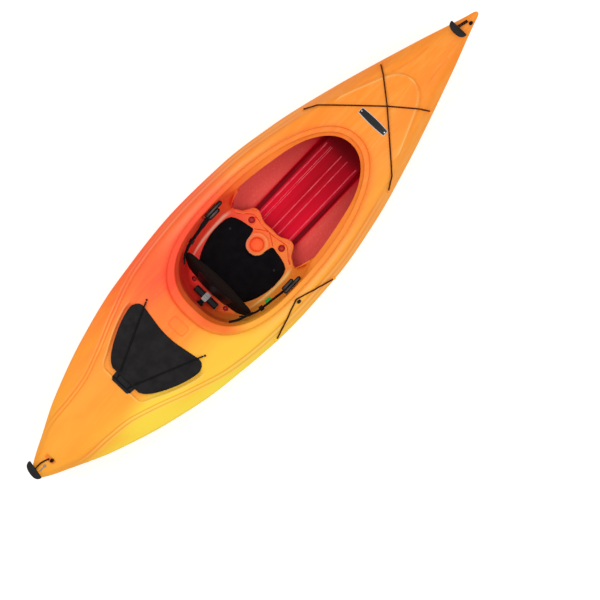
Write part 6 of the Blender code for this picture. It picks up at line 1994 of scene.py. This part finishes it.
def add_handle(materials, surface, word, grip_s, grip_y, turn, hole_s):
    """T-grip of a carrying handle, the cord it hangs on, and the knot at the deck's hole."""
    hole, normal = surface.down(hole_s, 0.0)
    low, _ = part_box(f"{word}_handle_grip")
    matrix = Matrix.Translation(place(grip_s, grip_y, low.z)) @ Matrix.Rotation(turn, 4, "Z")
    body = f"{word}_handle"
    add_object(f"{word}_grip", grip_solid(matrix), materials["rubber"], body, [f"{word}_handle_grip"],
               50)
    start = matrix @ Vector((GRIP[0] * 0.5 + 0.0008, 0, GRIP[2] * 0.5))
    end = hole + normal * (CORD_RADIUS * 1.2 + 0.0008)
    path = []
    steps = 7
    for k in range(steps + 1):
        t = k / steps
        point = start.lerp(end, t)
        spot, up = surface.down(point.x + MIDSHIP, min(point.y, 0.5 * half_beam(point.x + MIDSHIP)))
        lowest = (spot + up * (CORD_RADIUS + 0.001)).z
        point.z = max(lowest, start.z + (lowest - start.z) * smooth_step(t))
        path.append(point)
    if word == "bow":
        cord = merged(*(round_cord([p + Vector((0, shift, 0)) for p in path], radius)
                        for shift, radius in BOW_STRANDS))
    else:
        reach = (path[-1] - path[0]).length
        near, far = STERN_CORD_SHIFT
        bent = [p + Vector((0, near + far * math.sin(math.pi * (p - path[0]).length / reach), 0))
                for p in path]
        cord = round_cord(bent, STERN_CORD_RADIUS)
    add_object(f"{word}_grip_cord", cord, materials["cord"], body, [f"{word}_handle_cord"])
    spot, up = surface.down(hole_s + 0.0030, KNOT_Y)
    knot = bmesh.new()
    bmesh.ops.create_uvsphere(knot, u_segments=28, v_segments=18, radius=KNOT_RADIUS)
    for v in knot.verts:
        v.co *= 1 + 0.08 * math.sin(v.co.x * 900 + v.co.z * 700)
        v.co = Vector((v.co.x * 1.35, v.co.y * 1.12, v.co.z))
    knot.transform(Matrix.Translation(spot + up * 0.0080))
    add_object(f"{word}_cord_knot", knot, materials["cord"], "hull", [f"{word}_handle_knot"],
               60)


def add_rivet(name, material, spot, facing):
    """Low rivet head of a plate."""
    add_object(name, turned(RIVET_HEAD, 20, frame_at(spot, facing)), material, "hull")


def add_badges(materials, surface):
    """Blank plates of the foredeck and the starboard quarter, with their rivets, and the dull strip."""
    middle = FOREDECK_PLATE["s"]
    offset = FOREDECK_PLATE["y"]
    rows = 8
    columns = 48

    def barrel(size):
        grid = []
        for i in range(rows + 1):
            row = []
            for j in range(columns + 1):
                u = 1 - 2 * j / columns
                length = FOREDECK_PLATE["half_length"] * (1 - 0.20 * u * u) - size
                half = FOREDECK_PLATE["half_width"] - size
                row.append((middle + length * (2 * i / rows - 1), offset + half * u))
            grid.append(row)
        return grid

    def raised(height):
        return lambda i, j, s, y: place(s, y, surface.down(s, y)[0].z + height)

    add_object("foredeck_plate_border", quilt(barrel(0.0), raised(0.0016), raised(0.0002)),
               materials["silver"], "hull")
    add_object("foredeck_plate", quilt(barrel(0.0028), raised(0.0023), raised(0.0004)), materials["plate"],
               "hull")
    for number, y in enumerate(FOREDECK_RIVETS):
        spot, normal = surface.down(middle, y)
        add_rivet(f"foredeck_plate_rivet_{number + 1}", materials["steel"], spot + normal * 0.0019, normal)

    low_s, high_s = QUARTER_PLATE["s"]
    rear_z, front_z = QUARTER_PLATE["z"]
    half = QUARTER_PLATE["half"]
    grid = [[(low_s + (high_s - low_s) * i / 24, rear_z + (front_z - rear_z) * i / 24 + half * (j / 3 - 1))
             for j in range(7)] for i in range(25)]

    def standing(height):
        def point(i, j, s, z):
            return surface.beside(s, z, 1, -0.9)[0] - Vector((0, height, 0))
        return point

    add_object("quarter_plate", quilt(grid, standing(0.0016), standing(-0.0002)), materials["plate"], "hull")
    outward = Vector((0, -1, 0))
    for number, s in enumerate((low_s + QUARTER_RIVET_INSET, high_s - QUARTER_RIVET_INSET)):
        level = rear_z + (front_z - rear_z) * (s - low_s) / (high_s - low_s)
        spot = surface.beside(s, level, 1, -0.9)[0]
        add_rivet(f"quarter_plate_rivet_{number + 1}", materials["steel"], spot + outward * 0.0014, outward)

    s, y = STERN_SCREW_PLACE
    aft, length, half = STERN_STRIP["aft"], STERN_STRIP["length"], STERN_STRIP["half"]
    strip = [[(s - aft + length * i / 16, y + half - 2 * half * j / 4) for j in range(5)] for i in range(17)]
    add_object("stern_strip", quilt(strip, raised(0.0012), raised(-0.0003)), materials["strip"], "hull")


def link(obj):
    """Puts an object into the scene."""
    bpy.context.scene.collection.objects.link(obj)
    return obj


def add_floor():
    """Pale floor that hides its own shading from the camera and stays darker for the light it throws back."""
    floor = bmesh.new()
    bmesh.ops.create_grid(floor, x_segments=1, y_segments=1, size=FLOOR_HALF)
    mesh = bpy.data.meshes.new("floor")
    floor.to_mesh(mesh)
    floor.free()
    n = Nodes("pale_floor")
    rays = n.add("ShaderNodeLightPath").outputs
    shown = n.math("MAXIMUM", rays["Is Camera Ray"], n.math("MAXIMUM", rays["Is Glossy Ray"],
                                                            rays["Is Transmission Ray"]))
    fine = n.noise(n.place, 3.0, 2.0)
    pale = n.blend(fine, (0.80, 0.80, 0.80, 1), (0.82, 0.82, 0.82, 1))
    n.finish(n.blend(shown, pale, (0.58, 0.56, 0.53, 1)), 0.9, None, 0.0)
    n.put(n.shader.inputs["Emission Color"], (1.0, 1.0, 1.0, 1))
    n.put(n.shader.inputs["Emission Strength"], n.times(shown, 0.65))
    mesh.materials.append(n.material)
    obj = link(bpy.data.objects.new("floor", mesh))
    obj.location = (0, 0, -FLOOR_DROP)


def add_world():
    """White world that lights the part less strongly than it shows."""
    world = bpy.data.worlds.new("studio")
    world.use_nodes = True
    nodes, links = world.node_tree.nodes, world.node_tree.links
    background = nodes["Background"]
    background.inputs["Color"].default_value = (1, 1, 1, 1)
    rays = nodes.new("ShaderNodeLightPath").outputs
    seen = rays["Is Camera Ray"]
    for name in ("Is Glossy Ray", "Is Transmission Ray"):
        either = nodes.new("ShaderNodeMath")
        either.operation = "MAXIMUM"
        links.new(seen, either.inputs[0])
        links.new(rays[name], either.inputs[1])
        seen = either.outputs[0]
    strength = nodes.new("ShaderNodeMapRange")
    strength.inputs["To Min"].default_value = WORLD_LIGHT
    links.new(seen, strength.inputs["Value"])
    links.new(strength.outputs["Result"], background.inputs["Strength"])
    bpy.context.scene.world = world


def add_lamps():
    """Soft boxes that face the middle of the part."""
    for name, location, size, power in SOFTBOXES:
        light = bpy.data.lights.new(name, "AREA")
        light.shape = "RECTANGLE"
        light.size, light.size_y = size
        light.energy = power
        lamp = link(bpy.data.objects.new(name, light))
        lamp.location = location
        lamp.rotation_euler = (-Vector(location)).to_track_quat("-Z", "Y").to_euler()


def add_camera():
    """Camera straight above, turned so that the hull runs as it does in the picture."""
    camera = bpy.data.cameras.new("camera")
    camera.sensor_width = 36.0
    camera.lens = CAMERA_LENS
    camera.clip_end = 100.0
    viewer = link(bpy.data.objects.new("camera", camera))
    axes = (Vector(PICTURE_RIGHT), Vector(PICTURE_TOP), Vector((0, 0, 1)))
    viewer.matrix_world = Matrix(axes).transposed().to_4x4()
    viewer.matrix_world.translation = Vector(CAMERA_PLACE)
    bpy.context.scene.camera = viewer
    bpy.context.scene.view_settings.view_transform = "Standard"


def all_materials():
    """Every material, under the word that the pieces ask for it by."""
    materials = {"outer": outer_plastic(), "inner": inner_plastic()}
    for table, stuff in ((PLAIN_STUFFS, plain_stuff), (WOVEN_STUFFS, woven_stuff)):
        for word, (name, dark, light, *rest) in table.items():
            materials[word] = stuff(name, srgb(*dark), srgb(*light), *rest)
    return materials


def main():
    materials = all_materials()
    shell_bm = build_shell()
    surface = Surface(shell_bm)
    shell = add_object("moulded_shell", shell_bm, materials["outer"], "hull", ["hull_and_deck"],
                       60)
    shell.data.materials.append(materials["inner"])
    add_floor_ridges(materials, surface)
    add_pan_edge(materials, surface)
    add_seat_pad(materials, surface)
    add_backrest(materials)
    add_straps(materials)
    add_rear_strap(materials)
    add_cross_bar(materials)
    add_hatch(materials, surface)
    add_deck_cords(materials, surface)
    add_handle(materials, surface, "bow", BOW_GRIP_S, BOW_GRIP_Y, 0.0, BOW_HANDLE_HOLE)
    add_handle(materials, surface, "stern", STERN_GRIP_S, STERN_GRIP_Y, STERN_GRIP_TURN, STERN_HANDLE_HOLE)
    add_badges(materials, surface)
    for stuff, nodes in KEPT_PIECES.items():
        for node in nodes:
            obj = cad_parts[node]
            obj.data.materials.clear()
            obj.data.materials.append(materials[stuff])
    add_floor()
    add_world()
    add_lamps()
    add_camera()


main()
